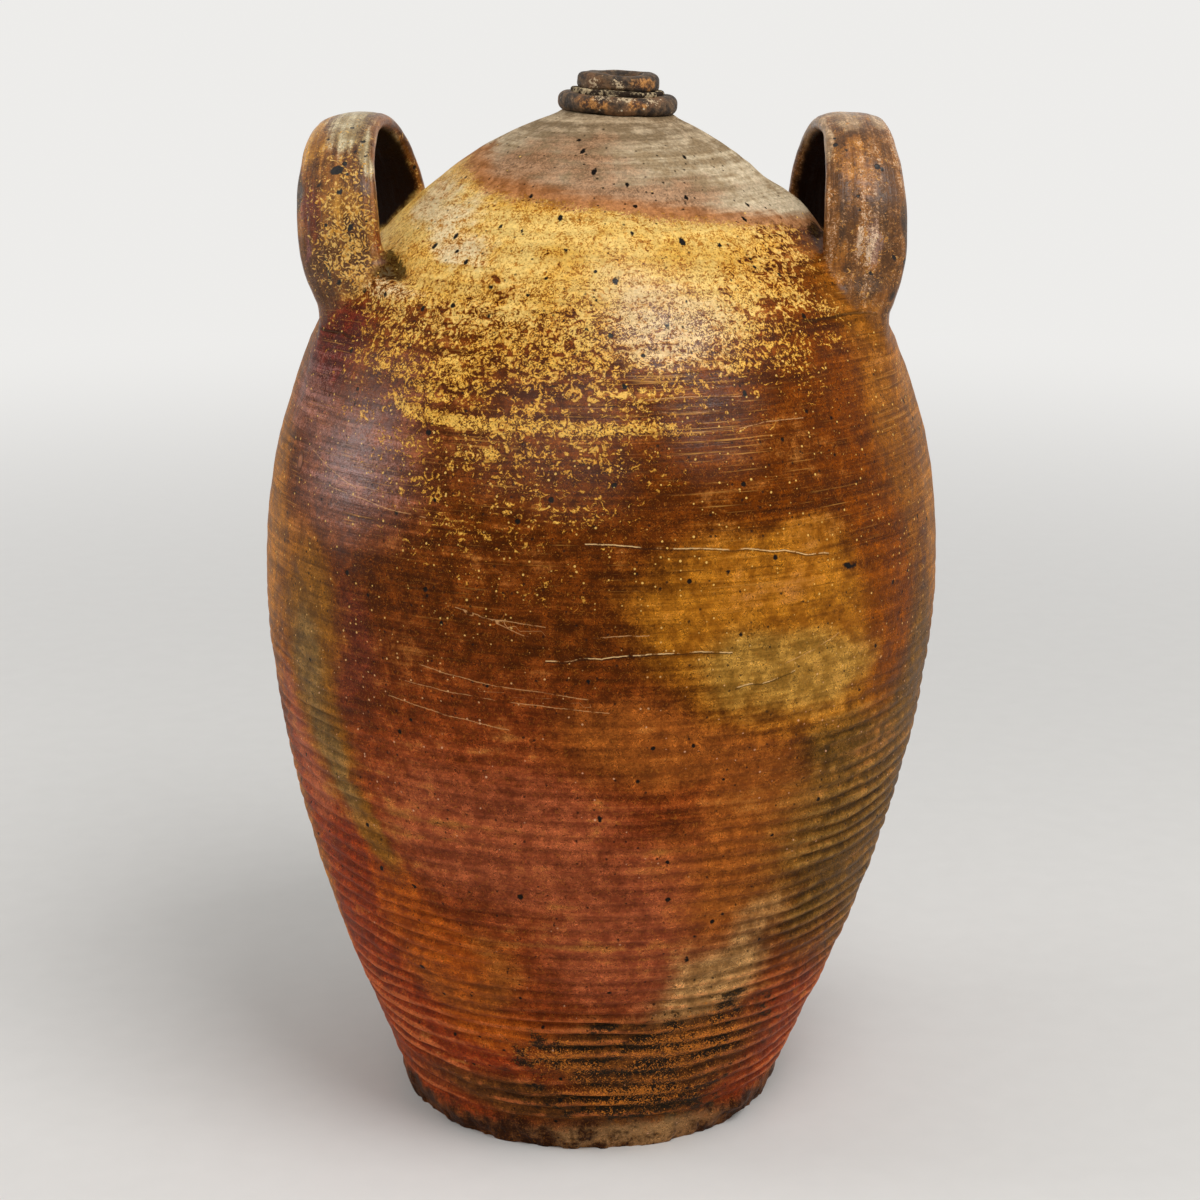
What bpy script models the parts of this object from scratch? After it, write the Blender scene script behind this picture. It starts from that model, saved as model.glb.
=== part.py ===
"""Two-handled stoneware storage jug, modelled as the pieces that a potter makes and joins.

Metres, +Z up. The origin is the centre of the foot's underside, the front is -Y and the
two strap handles stand at +X and -X. Every piece is first made true and upright, and is
then settled: the same small lean and neck tilt that the thrown jug has moves them all.
"""
import math

import bmesh
import bpy
from mathutils import Vector

# Outer face of the turned wall: each station's rise above the one below, and its radius.
# The stations either side of the belly are given by how far they are set in from it
FOOT_RADIUS = 0.0845
ANKLE_RISE = 0.018
ANKLE_RADIUS = 0.0916
HIP_RISE = 0.092
HIP_RADIUS = 0.1262
WAIST_RISE = 0.090
WAIST_INSET = 0.0041
BELLY_RISE = 0.055
BELLY_RADIUS = 0.1508
SHOULDER_RISE = 0.070
SHOULDER_INSET = 0.0106
DOME_RISE = 0.055
DOME_INSET = 0.0358
CROWN_RISE = 0.040
CROWN_INSET = 0.0736
BROW_RISE = 0.022
BROW_RADIUS = 0.0460
NECK_BASE_RISE = 0.007
NECK_BASE_RADIUS = 0.0313

# Wall, and where its thrown sections are luted together: below the belly station and
# above the shoulder station
WALL_THICKNESS = 0.009
FOOT_THICKNESS = 0.013
LOWER_SEAM_DROP = 0.0064
UPPER_SEAM_RISE = 0.034

# Throwing ribs round the lower wall: they start above the ankle and fade out going up
RIB_PITCH = 0.0065
RIB_HEIGHT = 0.0012
RIB_START_RISE = 0.0015
RIB_BAND_HEIGHT = 0.130
RIB_FADE = 0.030

# Neck, luted over a wider hole in the dome, the two clay rings on it, and the gritty
# residue in the groove between them
MOUTH_RADIUS = 0.010
DOME_HOLE_RADIUS = 0.018
NECK_WALL = 0.0042
NECK_FLARE_RISE = 0.0036
COLLAR_WIDTH = 0.0112
COLLAR_HEIGHT = 0.0078
COLLAR_OVERHANG = 0.0007
GROOVE_HEIGHT = 0.0019
LIP_WIDTH = 0.0080
LIP_HEIGHT = 0.0069
RING_ROUNDING = 0.0030
ROUNDING_LIMIT = 0.45
HOLE_EDGE_RISE = 0.0009
RESIDUE_REACH = 0.0045
RESIDUE_WAVE = 0.2
RESIDUE_LOBES = 5
RESIDUE_BREAK = math.radians(48)
RESIDUE_BREAK_CENTRE = math.radians(-72)

# Strap handles: a leg's centre line meets the wall about the seat, given above the dome
# station, and a straight leg runs up from there to where the arch springs
LEFT_SEAT_RISE = 0.006
RIGHT_SEAT_RISE = 0.0015
HANDLE_SPREAD = 0.094
HANDLE_LEG_HEIGHT = 0.016
LEFT_HANDLE_TURN = math.radians(9)
RIGHT_HANDLE_TURN = math.radians(6)
LEFT_HANDLE_LEAN = math.radians(6)
RIGHT_HANDLE_LEAN = math.radians(2)
STRAP_TOP_WIDTH = 0.0290
STRAP_LEG_WIDTH = 0.0358
STRAP_TOP_THICKNESS = 0.0100
STRAP_LEG_THICKNESS = 0.0130
STRAP_ROOT_THICKNESS = 0.0200
STRAP_SINK = 0.034
STRAP_TUCK = 0.0025
STRAP_SQUARENESS = 2.3

# Clay pads pressed round each handle root
PAD_MARGIN = 0.005
PAD_HEIGHT = 0.008

# How the jug leans and how its neck is set a little over and tilted
BODY_LEAN = 0.0057
LEAN_HEIGHT = 0.300
NECK_SHIFT = 0.0070
NECK_TILT = math.radians(2.8)
NECK_SET_POWER = 1.5

# Clearance between neighbouring pieces
GAP = 0.0003

# Fineness of the solids
WALL_STEPS = 48
NECK_STEPS = 40
STATION_STEP = 0.013
SLOPE_STEP = 0.0005
SECTION_POINTS = 16
ARCH_STEPS = 12
CORNER_STEPS = 3
PAD_SEGMENTS = 20
PAD_RINGS = 10
HALVINGS = 40
MERGE_DISTANCE = 0.00001
SHARP_ANGLE = math.radians(35)

ANKLE_HEIGHT = ANKLE_RISE
HIP_HEIGHT = ANKLE_HEIGHT + HIP_RISE
WAIST_HEIGHT = HIP_HEIGHT + WAIST_RISE
BELLY_HEIGHT = WAIST_HEIGHT + BELLY_RISE
SHOULDER_HEIGHT = BELLY_HEIGHT + SHOULDER_RISE
DOME_HEIGHT = SHOULDER_HEIGHT + DOME_RISE
CROWN_HEIGHT = DOME_HEIGHT + CROWN_RISE
BROW_HEIGHT = CROWN_HEIGHT + BROW_RISE
NECK_BASE_HEIGHT = BROW_HEIGHT + NECK_BASE_RISE

WAIST_RADIUS = BELLY_RADIUS - WAIST_INSET
SHOULDER_RADIUS = BELLY_RADIUS - SHOULDER_INSET
DOME_RADIUS = BELLY_RADIUS - DOME_INSET
CROWN_RADIUS = BELLY_RADIUS - CROWN_INSET

OUTLINE = (
    (0.0, FOOT_RADIUS),
    (ANKLE_HEIGHT, ANKLE_RADIUS),
    (HIP_HEIGHT, HIP_RADIUS),
    (WAIST_HEIGHT, WAIST_RADIUS),
    (BELLY_HEIGHT, BELLY_RADIUS),
    (SHOULDER_HEIGHT, SHOULDER_RADIUS),
    (DOME_HEIGHT, DOME_RADIUS),
    (CROWN_HEIGHT, CROWN_RADIUS),
    (BROW_HEIGHT, BROW_RADIUS),
    (NECK_BASE_HEIGHT, NECK_BASE_RADIUS),
)

LOWER_SEAM_HEIGHT = BELLY_HEIGHT - LOWER_SEAM_DROP
UPPER_SEAM_HEIGHT = SHOULDER_HEIGHT + UPPER_SEAM_RISE
RIB_START_HEIGHT = ANKLE_HEIGHT + RIB_START_RISE
RIB_END_HEIGHT = RIB_START_HEIGHT + RIB_BAND_HEIGHT

NECK_RADIUS = MOUTH_RADIUS + NECK_WALL
COLLAR_RADIUS = NECK_RADIUS + GAP + COLLAR_WIDTH
NECK_FLARE_RADIUS = COLLAR_RADIUS - COLLAR_OVERHANG
LIP_RADIUS = MOUTH_RADIUS + LIP_WIDTH
NECK_FLARE_TOP = NECK_BASE_HEIGHT + NECK_FLARE_RISE
COLLAR_BASE = NECK_FLARE_TOP + GAP
COLLAR_TOP = COLLAR_BASE + COLLAR_HEIGHT
LIP_BASE = COLLAR_TOP + GROOVE_HEIGHT
LIP_TOP = LIP_BASE + LIP_HEIGHT

LEFT_SEAT_HEIGHT = DOME_HEIGHT + LEFT_SEAT_RISE
RIGHT_SEAT_HEIGHT = DOME_HEIGHT + RIGHT_SEAT_RISE
HANDLE_TOP_HEIGHT = NECK_FLARE_TOP


def new_collection(name):
    collection = bpy.data.collections.new(name)
    bpy.context.scene.collection.children.link(collection)
    return collection


def clay(name, colour, roughness):
    """A fired-clay or glaze finish in one plain colour."""
    material = bpy.data.materials.new(name)
    material.use_nodes = True
    shader = material.node_tree.nodes["Principled BSDF"]
    shader.inputs["Base Color"].default_value = (*colour, 1.0)
    shader.inputs["Roughness"].default_value = roughness
    shader.inputs["Metallic"].default_value = 0.0
    return material


def slopes(stations):
    """Slope of the outline at each station, by three-point differences."""
    rises = []
    for (low, low_radius), (high, high_radius) in zip(stations, stations[1:]):
        rises.append((high_radius - low_radius) / (high - low))
    result = [rises[0] + (rises[0] - rises[1]) / 2]
    for index in range(1, len(stations) - 1):
        before = stations[index][0] - stations[index - 1][0]
        after = stations[index + 1][0] - stations[index][0]
        blend = (rises[index - 1] * after + rises[index] * before) / (before + after)
        result.append(blend)
    result.append(rises[-1] + (rises[-1] - rises[-2]) / 2)
    return result


OUTLINE_SLOPES = slopes(OUTLINE)


def wall_radius(height):
    """Radius of the outer face without ribs: a smooth curve through the stations."""
    height = min(max(height, OUTLINE[0][0]), OUTLINE[-1][0])
    index = 0
    while index < len(OUTLINE) - 2 and height > OUTLINE[index + 1][0]:
        index += 1
    low, low_radius = OUTLINE[index]
    high, high_radius = OUTLINE[index + 1]
    span = high - low
    t = (height - low) / span
    value = (1 + 2 * t) * (1 - t) ** 2 * low_radius
    value += t * (1 - t) ** 2 * span * OUTLINE_SLOPES[index]
    value += t * t * (3 - 2 * t) * high_radius
    value += t * t * (t - 1) * span * OUTLINE_SLOPES[index + 1]
    return value


def wall_slope(height):
    """How fast the outer radius grows with height."""
    rise = wall_radius(height + SLOPE_STEP) - wall_radius(height - SLOPE_STEP)
    return rise / (2 * SLOPE_STEP)


def rib_offset(height):
    """Rise and fall of the throwing ribs about the smooth wall, crest half a pitch up."""
    if height <= RIB_START_HEIGHT or height >= RIB_END_HEIGHT:
        return 0.0
    fade = min(1.0, (RIB_END_HEIGHT - height) / RIB_FADE)
    turns = (height - RIB_START_HEIGHT) / RIB_PITCH
    return -0.5 * RIB_HEIGHT * fade * math.cos(2 * math.pi * turns)


def outer_point(height):
    return wall_radius(height) + rib_offset(height), height


def inner_radius(height):
    """Radius of the inner face, one wall thickness in from the smooth outer face."""
    return wall_radius(height) - WALL_THICKNESS * math.hypot(1.0, wall_slope(height))


def inner_point(height):
    """Point one wall thickness square in from the outer face at this height."""
    slope = wall_slope(height)
    length = math.hypot(1.0, slope)
    radius = wall_radius(height) - WALL_THICKNESS / length
    return radius, height + WALL_THICKNESS * slope / length


def even_heights(low, high):
    """Heights from low to high, both included, about a station step apart."""
    count = max(1, round((high - low) / STATION_STEP))
    return [low + (high - low) * index / count for index in range(count + 1)]


def outer_heights(low, high):
    """Heights for the outer face: each crest and hollow of the ribs, then even steps."""
    heights = [low]
    half_turns = int((RIB_END_HEIGHT - RIB_START_HEIGHT) / (RIB_PITCH / 2))
    for index in range(half_turns + 1):
        height = RIB_START_HEIGHT + index * RIB_PITCH / 2
        if low < height < high:
            heights.append(height)
    return heights + even_heights(heights[-1], high)[1:]


def section_profile(low, high):
    """Closed outline of one thrown wall section: down the outside, up the inside."""
    profile = [outer_point(height) for height in reversed(outer_heights(low, high))]
    profile.append((inner_radius(low), low))
    for height in even_heights(low, high)[1:-1]:
        radius, inner_height = inner_point(height)
        if low < inner_height < high:
            profile.append((radius, inner_height))
    profile.append((inner_radius(high), high))
    return profile


def dome_profile(low, high):
    """Closed outline of the dome, whose inside runs in to the hole under the neck."""
    profile = [outer_point(height) for height in reversed(even_heights(low, high))]
    profile.append((inner_radius(low), low))
    for height in even_heights(low, high)[1:]:
        radius, inner_height = inner_point(height)
        if radius > DOME_HOLE_RADIUS and inner_height > low:
            profile.append((radius, inner_height))
    profile.append((DOME_HOLE_RADIUS, profile[-1][1] + HOLE_EDGE_RISE))
    profile.append((DOME_HOLE_RADIUS, high))
    return profile


def rounded_ring_profile(inner, outer, base, top, rounding):
    """Closed outline of a clay ring with rounded outer corners, as large as the ring allows."""
    rounding = min(rounding, ROUNDING_LIMIT * (top - base), ROUNDING_LIMIT * (outer - inner))
    profile = [(inner, top)]
    for centre_height, start in ((top - rounding, 90), (base + rounding, 0)):
        for step in range(CORNER_STEPS + 1):
            angle = math.radians(start - 90 * step / CORNER_STEPS)
            radius = outer - rounding + rounding * math.cos(angle)
            profile.append((radius, centre_height + rounding * math.sin(angle)))
    profile.append((inner, base))
    return profile


def turned(name, profile, steps, closed=True):
    """A turned solid from a profile that runs down its outer side."""
    mesh = bpy.data.meshes.new(name)
    points = [(radius, 0.0, height) for radius, height in profile]
    edges = [(index, index + 1) for index in range(len(points) - 1)]
    if closed:
        edges.append((len(points) - 1, 0))
    mesh.from_pydata(points, edges, [])
    obj = bpy.data.objects.new(name, mesh)
    screw = obj.modifiers.new("turn", "SCREW")
    screw.steps = steps
    screw.render_steps = steps
    screw.use_merge_vertices = True
    screw.merge_threshold = MERGE_DISTANCE
    return obj


def loft(name, rings):
    """A solid through rings of points, joined ring to ring, with its ends capped."""
    shape = bmesh.new()
    loops = [[shape.verts.new(point) for point in ring] for ring in rings]
    for first, second in zip(loops, loops[1:]):
        for index in range(len(first)):
            following = (index + 1) % len(first)
            shape.faces.new((first[index], first[following], second[following], second[index]))
    shape.faces.new(loops[0])
    shape.faces.new(loops[-1])
    bmesh.ops.recalc_face_normals(shape, faces=shape.faces)
    mesh = bpy.data.meshes.new(name)
    shape.to_mesh(mesh)
    shape.free()
    return bpy.data.objects.new(name, mesh)


def cut(obj, cutter):
    """Take the cutter's space out of the object."""
    modifier = obj.modifiers.new("cut by " + cutter.name, "BOOLEAN")
    modifier.operation = "DIFFERENCE"
    modifier.solver = "EXACT"
    modifier.object = cutter


def as_cutter(obj, collection):
    collection.objects.link(obj)
    obj.hide_render = True
    obj.display_type = "WIRE"
    return obj


def lean(height):
    """How far the body's centre line has moved to the right at this height."""
    remaining = 1.0 - min(1.0, height / LEAN_HEIGHT)
    return BODY_LEAN * (1.0 - remaining ** 2)


def neck_set(height):
    """How much of the neck's shift and tilt applies at this height, from 0 to 1."""
    ratio = (height - CROWN_HEIGHT) / (NECK_BASE_HEIGHT - CROWN_HEIGHT)
    return min(1.0, max(0.0, ratio)) ** NECK_SET_POWER


def settled_point(point, with_neck):
    share = neck_set(point.z) if with_neck else 0.0
    across = point.x + lean(point.z) + NECK_SHIFT * share
    height = point.z - math.tan(NECK_TILT) * share * point.x
    return Vector((across, point.y, height))


def finish(obj, collection, material, with_neck):
    """Apply the modifiers, settle the piece and put it in the jug with its finish."""
    collection.objects.link(obj)
    bpy.context.view_layer.update()
    depsgraph = bpy.context.evaluated_depsgraph_get()
    mesh = bpy.data.meshes.new_from_object(obj.evaluated_get(depsgraph), depsgraph=depsgraph)
    obj.modifiers.clear()
    obj.data = mesh
    place = obj.matrix_world.copy()
    back = place.inverted()
    for vertex in mesh.vertices:
        vertex.co = back @ settled_point(place @ vertex.co, with_neck)
    mesh.name = obj.name
    mesh.materials.clear()
    mesh.materials.append(material)
    mesh.shade_smooth()
    mesh.set_sharp_from_angle(angle=SHARP_ANGLE)
    return obj


def make_foot(parts):
    """The slab that closes the bottom; its underside is the resting face."""
    heights = (FOOT_THICKNESS, FOOT_THICKNESS / 2, 0.0)
    profile = [(0.0, FOOT_THICKNESS)]
    profile += [outer_point(height) for height in heights]
    profile.append((0.0, 0.0))
    foot = turned("foot_disc", profile, WALL_STEPS, closed=False)
    finish(foot, parts, clay("foot clay", (0.17, 0.12, 0.08), 0.85), with_neck=True)


def make_walls(parts):
    """The two thrown wall sections and the dome, each seated on the one below."""
    lower = turned("lower_wall", section_profile(FOOT_THICKNESS + GAP, LOWER_SEAM_HEIGHT), WALL_STEPS)
    upper_base = LOWER_SEAM_HEIGHT + GAP
    upper = turned("upper_wall", section_profile(upper_base, UPPER_SEAM_HEIGHT), WALL_STEPS)
    dome = turned("shoulder_dome", dome_profile(UPPER_SEAM_HEIGHT + GAP, NECK_BASE_HEIGHT), WALL_STEPS)
    finish(lower, parts, clay("red ribbed glaze", (0.33, 0.12, 0.06), 0.45), with_neck=True)
    finish(upper, parts, clay("orange-brown glaze", (0.30, 0.15, 0.05), 0.35), with_neck=True)
    finish(dome, parts, clay("ochre ash glaze", (0.62, 0.42, 0.16), 0.45), with_neck=True)


def make_neck(parts):
    """The short neck with its flare, and the collar and lip rings luted round it."""
    base = NECK_BASE_HEIGHT + GAP
    neck_profile = [
        (NECK_RADIUS, LIP_BASE - GAP),
        (NECK_RADIUS, NECK_FLARE_TOP),
        (NECK_FLARE_RADIUS, NECK_FLARE_TOP),
        (NECK_BASE_RADIUS, base),
        (MOUTH_RADIUS, base),
        (MOUTH_RADIUS, LIP_BASE - GAP),
    ]
    neck = turned("neck", neck_profile, NECK_STEPS)
    collar_profile = rounded_ring_profile(
        NECK_RADIUS + GAP, COLLAR_RADIUS, COLLAR_BASE, COLLAR_TOP, RING_ROUNDING)
    collar = turned("collar_ring", collar_profile, NECK_STEPS)
    lip_profile = rounded_ring_profile(MOUTH_RADIUS, LIP_RADIUS, LIP_BASE, LIP_TOP, RING_ROUNDING)
    lip = turned("lip_ring", lip_profile, NECK_STEPS)
    dark = clay("bare dark clay", (0.12, 0.09, 0.065), 0.8)
    finish(neck, parts, dark, with_neck=True)
    finish(collar, parts, dark, with_neck=True)
    finish(lip, parts, dark, with_neck=True)


def make_residue(parts):
    """Gritty crust left in the groove, running round the neck but for a break in front."""
    inner = NECK_RADIUS + GAP
    low = COLLAR_TOP + GAP
    high = LIP_BASE - GAP
    start = RESIDUE_BREAK_CENTRE + RESIDUE_BREAK / 2
    sweep = 2 * math.pi - RESIDUE_BREAK
    rings = []
    for step in range(NECK_STEPS + 1):
        angle = start + sweep * step / NECK_STEPS
        wave = RESIDUE_WAVE * (1 - math.sin(RESIDUE_LOBES * angle))
        reach = inner + RESIDUE_REACH * (1 - wave)
        middle = (inner + reach) / 2
        section = ((inner, low), (reach, low), (middle, high), (inner, high))
        direction = Vector((math.cos(angle), math.sin(angle), 0.0))
        rings.append([direction * radius + Vector((0.0, 0.0, height)) for radius, height in section])
    residue = loft("groove_residue", rings)
    finish(residue, parts, clay("gritty residue", (0.42, 0.33, 0.22), 0.9), with_neck=True)


def make_shoulder_cutter(cutters):
    """The wall from below the handle legs to the neck, grown by the clearance."""
    low = LOWER_SEAM_HEIGHT + GAP
    heights = even_heights(low, UPPER_SEAM_HEIGHT)
    heights += even_heights(UPPER_SEAM_HEIGHT + GAP, NECK_BASE_HEIGHT)
    profile = [(0.0, NECK_BASE_HEIGHT)]
    for height in reversed(heights):
        grown = GAP * math.hypot(1.0, wall_slope(height))
        profile.append((wall_radius(height) + grown, height))
    profile.append((0.0, low))
    return as_cutter(turned("shoulder_space", profile, WALL_STEPS, closed=False), cutters)


def strap_thickness(height, arch_rise):
    """Thickness along the strap: thin at the top, flaring into the root."""
    if height > HANDLE_LEG_HEIGHT:
        share = ((height - HANDLE_LEG_HEIGHT) / arch_rise) ** 2
        return STRAP_LEG_THICKNESS + (STRAP_TOP_THICKNESS - STRAP_LEG_THICKNESS) * share
    share = min(1.0, (HANDLE_LEG_HEIGHT - height) / HANDLE_LEG_HEIGHT)
    return STRAP_LEG_THICKNESS + (STRAP_ROOT_THICKNESS - STRAP_LEG_THICKNESS) * share ** 2


def strap_width(height, arch_rise):
    share = min(1.0, max(0.0, (height - HANDLE_LEG_HEIGHT) / arch_rise))
    return STRAP_LEG_WIDTH + (STRAP_TOP_WIDTH - STRAP_LEG_WIDTH) * share ** 2


def strap_tuck(height):
    """How far the leg has turned in towards the wall, more and more as it goes down."""
    share = (HANDLE_LEG_HEIGHT - height) / HANDLE_LEG_HEIGHT
    if share <= 0.0:
        return 0.0
    return STRAP_TUCK * (share ** 2 if share < 1.0 else 2 * share - 1)


def strap_path(arch_rise):
    """Centre line of the strap as (along, up) points, each with its outward direction."""
    half = HANDLE_SPREAD / 2
    leg_heights = (-STRAP_SINK, -STRAP_SINK / 2, 0.0, HANDLE_LEG_HEIGHT / 3, HANDLE_LEG_HEIGHT * 2 / 3)
    path = [((-half, height), (-1.0, 0.0)) for height in leg_heights]
    for step in range(ARCH_STEPS + 1):
        angle = math.pi * (step / ARCH_STEPS - 0.5)
        point = (half * math.sin(angle), HANDLE_LEG_HEIGHT + arch_rise * math.cos(angle))
        outward = Vector((math.sin(angle) / half, math.cos(angle) / arch_rise)).normalized()
        path.append((point, (outward.x, outward.y)))
    path += [((half, height), (1.0, 0.0)) for height in reversed(leg_heights)]
    return path


def strap_section(width, thickness):
    """Rounded strap section as (across, outward) points."""
    points = []
    for index in range(SECTION_POINTS):
        angle = 2 * math.pi * index / SECTION_POINTS
        across = math.copysign(abs(math.cos(angle)) ** (2 / STRAP_SQUARENESS), math.cos(angle))
        outward = math.copysign(abs(math.sin(angle)) ** (2 / STRAP_SQUARENESS), math.sin(angle))
        points.append((across * width / 2, outward * thickness / 2))
    return points


def strap(name, side, seat_height, turn, lean_angle, grown=0.0):
    """A stirrup strap whose legs run down into the shoulder, before it is trimmed."""
    arch_rise = HANDLE_TOP_HEIGHT - seat_height - HANDLE_LEG_HEIGHT - STRAP_TOP_THICKNESS / 2
    rings = []
    for (along, up), (out_along, out_up) in strap_path(arch_rise):
        width = strap_width(up, arch_rise) + 2 * grown
        thickness = strap_thickness(up, arch_rise) + 2 * grown
        inward = side * strap_tuck(up)
        ring = []
        for across, out in strap_section(width, thickness):
            ring.append((across - inward, along + out * out_along, up + out * out_up))
        rings.append(ring)
    obj = loft(name, rings)
    reach = math.sqrt(wall_radius(seat_height) ** 2 - (HANDLE_SPREAD / 2) ** 2) + STRAP_TUCK
    obj.location = (side * reach, 0.0, seat_height)
    obj.rotation_euler = (0.0, side * lean_angle, side * turn)
    return obj


def leg_centre(place, side, along, up):
    return place @ Vector((-side * strap_tuck(up), along, up))


def root_on_wall(place, side, along):
    """Where a leg's centre line goes through the wall, found by halving."""
    inside, outside = -STRAP_SINK, HANDLE_LEG_HEIGHT + HANDLE_SPREAD / 2
    for _ in range(HALVINGS):
        middle = (inside + outside) / 2
        point = leg_centre(place, side, along, middle)
        if math.hypot(point.x, point.y) < wall_radius(point.z):
            inside = middle
        else:
            outside = middle
    return leg_centre(place, side, along, inside)


def wall_normal(point):
    radius = math.hypot(point.x, point.y)
    return Vector((point.x / radius, point.y / radius, -wall_slope(point.z))).normalized()


def make_pad(name, place, side, along, cutters_used, parts, material):
    """A wad of clay pressed round a handle root, trimmed to the wall and the strap."""
    centre = root_on_wall(place, side, along)
    normal = wall_normal(centre)
    leg = (place.to_3x3() @ Vector((0.0, 0.0, 1.0))).normalized()
    across = (place.to_3x3() @ Vector((1.0, 0.0, 0.0))).normalized()
    footprint = across - leg * (across.dot(normal) / leg.dot(normal))
    half_length = footprint.length * STRAP_LEG_WIDTH / 2 + PAD_MARGIN
    half_width = STRAP_ROOT_THICKNESS / 2 + PAD_MARGIN
    long_axis = footprint.normalized()
    short_axis = normal.cross(long_axis)
    shape = bmesh.new()
    bmesh.ops.create_uvsphere(shape, u_segments=PAD_SEGMENTS, v_segments=PAD_RINGS, radius=1.0)
    for vertex in shape.verts:
        x, y, z = vertex.co
        offset = long_axis * (x * half_length) + short_axis * (y * half_width)
        vertex.co = offset + normal * (z * PAD_HEIGHT)
    bmesh.ops.recalc_face_normals(shape, faces=shape.faces)
    mesh = bpy.data.meshes.new(name)
    shape.to_mesh(mesh)
    shape.free()
    pad = bpy.data.objects.new(name, mesh)
    pad.location = centre
    for cutter in cutters_used:
        cut(pad, cutter)
    finish(pad, parts, material, with_neck=False)


def make_handle(prefix, side, seat_height, turn, lean_angle, colour, shoulder, parts, cutters):
    """A strap handle trimmed to the shoulder, with a pad round each of its roots."""
    material = clay(prefix + " handle glaze", colour, 0.4)
    shape = (side, seat_height, turn, lean_angle)
    grown = as_cutter(strap(prefix + "_handle_space", *shape, grown=GAP), cutters)
    bpy.context.view_layer.update()
    place = grown.matrix_world.copy()
    for end, along in (("front", -HANDLE_SPREAD / 2), ("rear", HANDLE_SPREAD / 2)):
        name = prefix + "_handle_" + end + "_pad"
        make_pad(name, place, side, along, (shoulder, grown), parts, material)
    handle = strap(prefix + "_handle", *shape)
    cut(handle, shoulder)
    finish(handle, parts, material, with_neck=False)


def make_handles(parts, cutters):
    shoulder = make_shoulder_cutter(cutters)
    left = (LEFT_SEAT_HEIGHT, LEFT_HANDLE_TURN, LEFT_HANDLE_LEAN)
    right = (RIGHT_SEAT_HEIGHT, RIGHT_HANDLE_TURN, RIGHT_HANDLE_LEAN)
    make_handle("left", -1, *left, (0.27, 0.15, 0.06), shoulder, parts, cutters)
    make_handle("right", 1, *right, (0.28, 0.13, 0.05), shoulder, parts, cutters)


def build():
    for obj in list(bpy.data.objects):
        bpy.data.objects.remove(obj)
    parts = new_collection("stoneware_jug")
    cutters = new_collection("stoneware_jug_cutters")
    make_foot(parts)
    make_walls(parts)
    make_neck(parts)
    make_residue(parts)
    make_handles(parts, cutters)


build()
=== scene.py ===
"""The looks of the two-handled stoneware jug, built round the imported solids.

Metres, +Z up, front at -Y. Angles round the jug are measured from the front, growing
towards +X. Every piece is first made upright and is then settled, as the solids are: the
body leans a little and the neck is set over and tilted. Where the kiln put each glaze is
painted into the meshes as weights, and the node materials turn the weights into colour.
"""

import math
from types import SimpleNamespace

import bpy
import numpy as np
from mathutils import Euler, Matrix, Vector


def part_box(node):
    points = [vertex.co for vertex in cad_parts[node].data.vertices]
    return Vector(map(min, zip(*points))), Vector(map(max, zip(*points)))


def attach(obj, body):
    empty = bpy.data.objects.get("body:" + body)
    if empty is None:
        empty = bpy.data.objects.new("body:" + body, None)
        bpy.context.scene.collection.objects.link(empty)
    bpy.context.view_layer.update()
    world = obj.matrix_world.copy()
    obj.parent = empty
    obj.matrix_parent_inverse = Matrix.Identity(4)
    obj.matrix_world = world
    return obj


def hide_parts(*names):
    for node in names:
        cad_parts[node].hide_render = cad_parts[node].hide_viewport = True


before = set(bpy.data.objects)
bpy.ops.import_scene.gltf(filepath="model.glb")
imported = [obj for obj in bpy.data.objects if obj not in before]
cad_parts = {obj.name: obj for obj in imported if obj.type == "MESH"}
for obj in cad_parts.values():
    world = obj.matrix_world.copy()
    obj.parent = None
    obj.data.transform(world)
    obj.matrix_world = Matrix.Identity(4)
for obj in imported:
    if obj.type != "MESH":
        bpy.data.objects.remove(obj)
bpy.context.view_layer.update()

# Outline of the wall, as (height, radius), the same as the solids have
OUTLINE = (
    (0.0, 0.0845),
    (0.018, 0.0916),
    (0.110, 0.1262),
    (0.200, 0.1467),
    (0.255, 0.1508),
    (0.325, 0.1402),
    (0.380, 0.1150),
    (0.420, 0.0772),
    (0.442, 0.0460),
    (0.449, 0.0313),
)
BELLY_RADIUS = 0.1508
DOME_HEIGHT = 0.380
CROWN_HEIGHT = 0.420
NECK_BASE_HEIGHT, NECK_BASE_RADIUS = OUTLINE[-1]
WALL_THICKNESS = 0.009
BODY_LEAN = 0.0057
LEAN_HEIGHT = 0.300
NECK_SHIFT = 0.0070
NECK_TILT = math.radians(2.8)
NECK_SET_POWER = 1.5

# Where one solid ends and the next begins
FOOT_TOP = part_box("foot_disc")[1].z
LOWER_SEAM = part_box("lower_wall")[1].z
UPPER_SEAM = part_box("upper_wall")[1].z

# Throwing ribs
RIB_PITCH = 0.0065
RIB_BASE = 0.0195
RIB_HEIGHT = 0.0017

# Neck, rings and mouth
MOUTH_RADIUS = 0.010
NECK_RADIUS = 0.0142
NECK_FLARE_TOP = 0.4526
NECK_FLARE_RADIUS = 0.0250
COLLAR_BASE = 0.4528
COLLAR_TOP = 0.4607
COLLAR_RADIUS = 0.0257
LIP_BASE = 0.4626
LIP_TOP = 0.4695
LIP_RADIUS = 0.0180
RING_LUMPS = 0.0008
COLLAR_ROUNDING = 0.0033
LIP_ROUNDING = 0.0026
CRUST_DEPTH = 0.0062
CRUST_ROUNDING = 0.0012
CRUST_LUMPS = 0.0012
# Orange-brown places on the rings: degrees, height, half width and half height
RUST = (
    (38, 0.4660, 0.018, 0.0050),
    (-25, 0.4575, 0.013, 0.0050),
    (20, 0.4580, 0.007, 0.0040),
    (160, 0.4570, 0.020, 0.0050),
)
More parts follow.
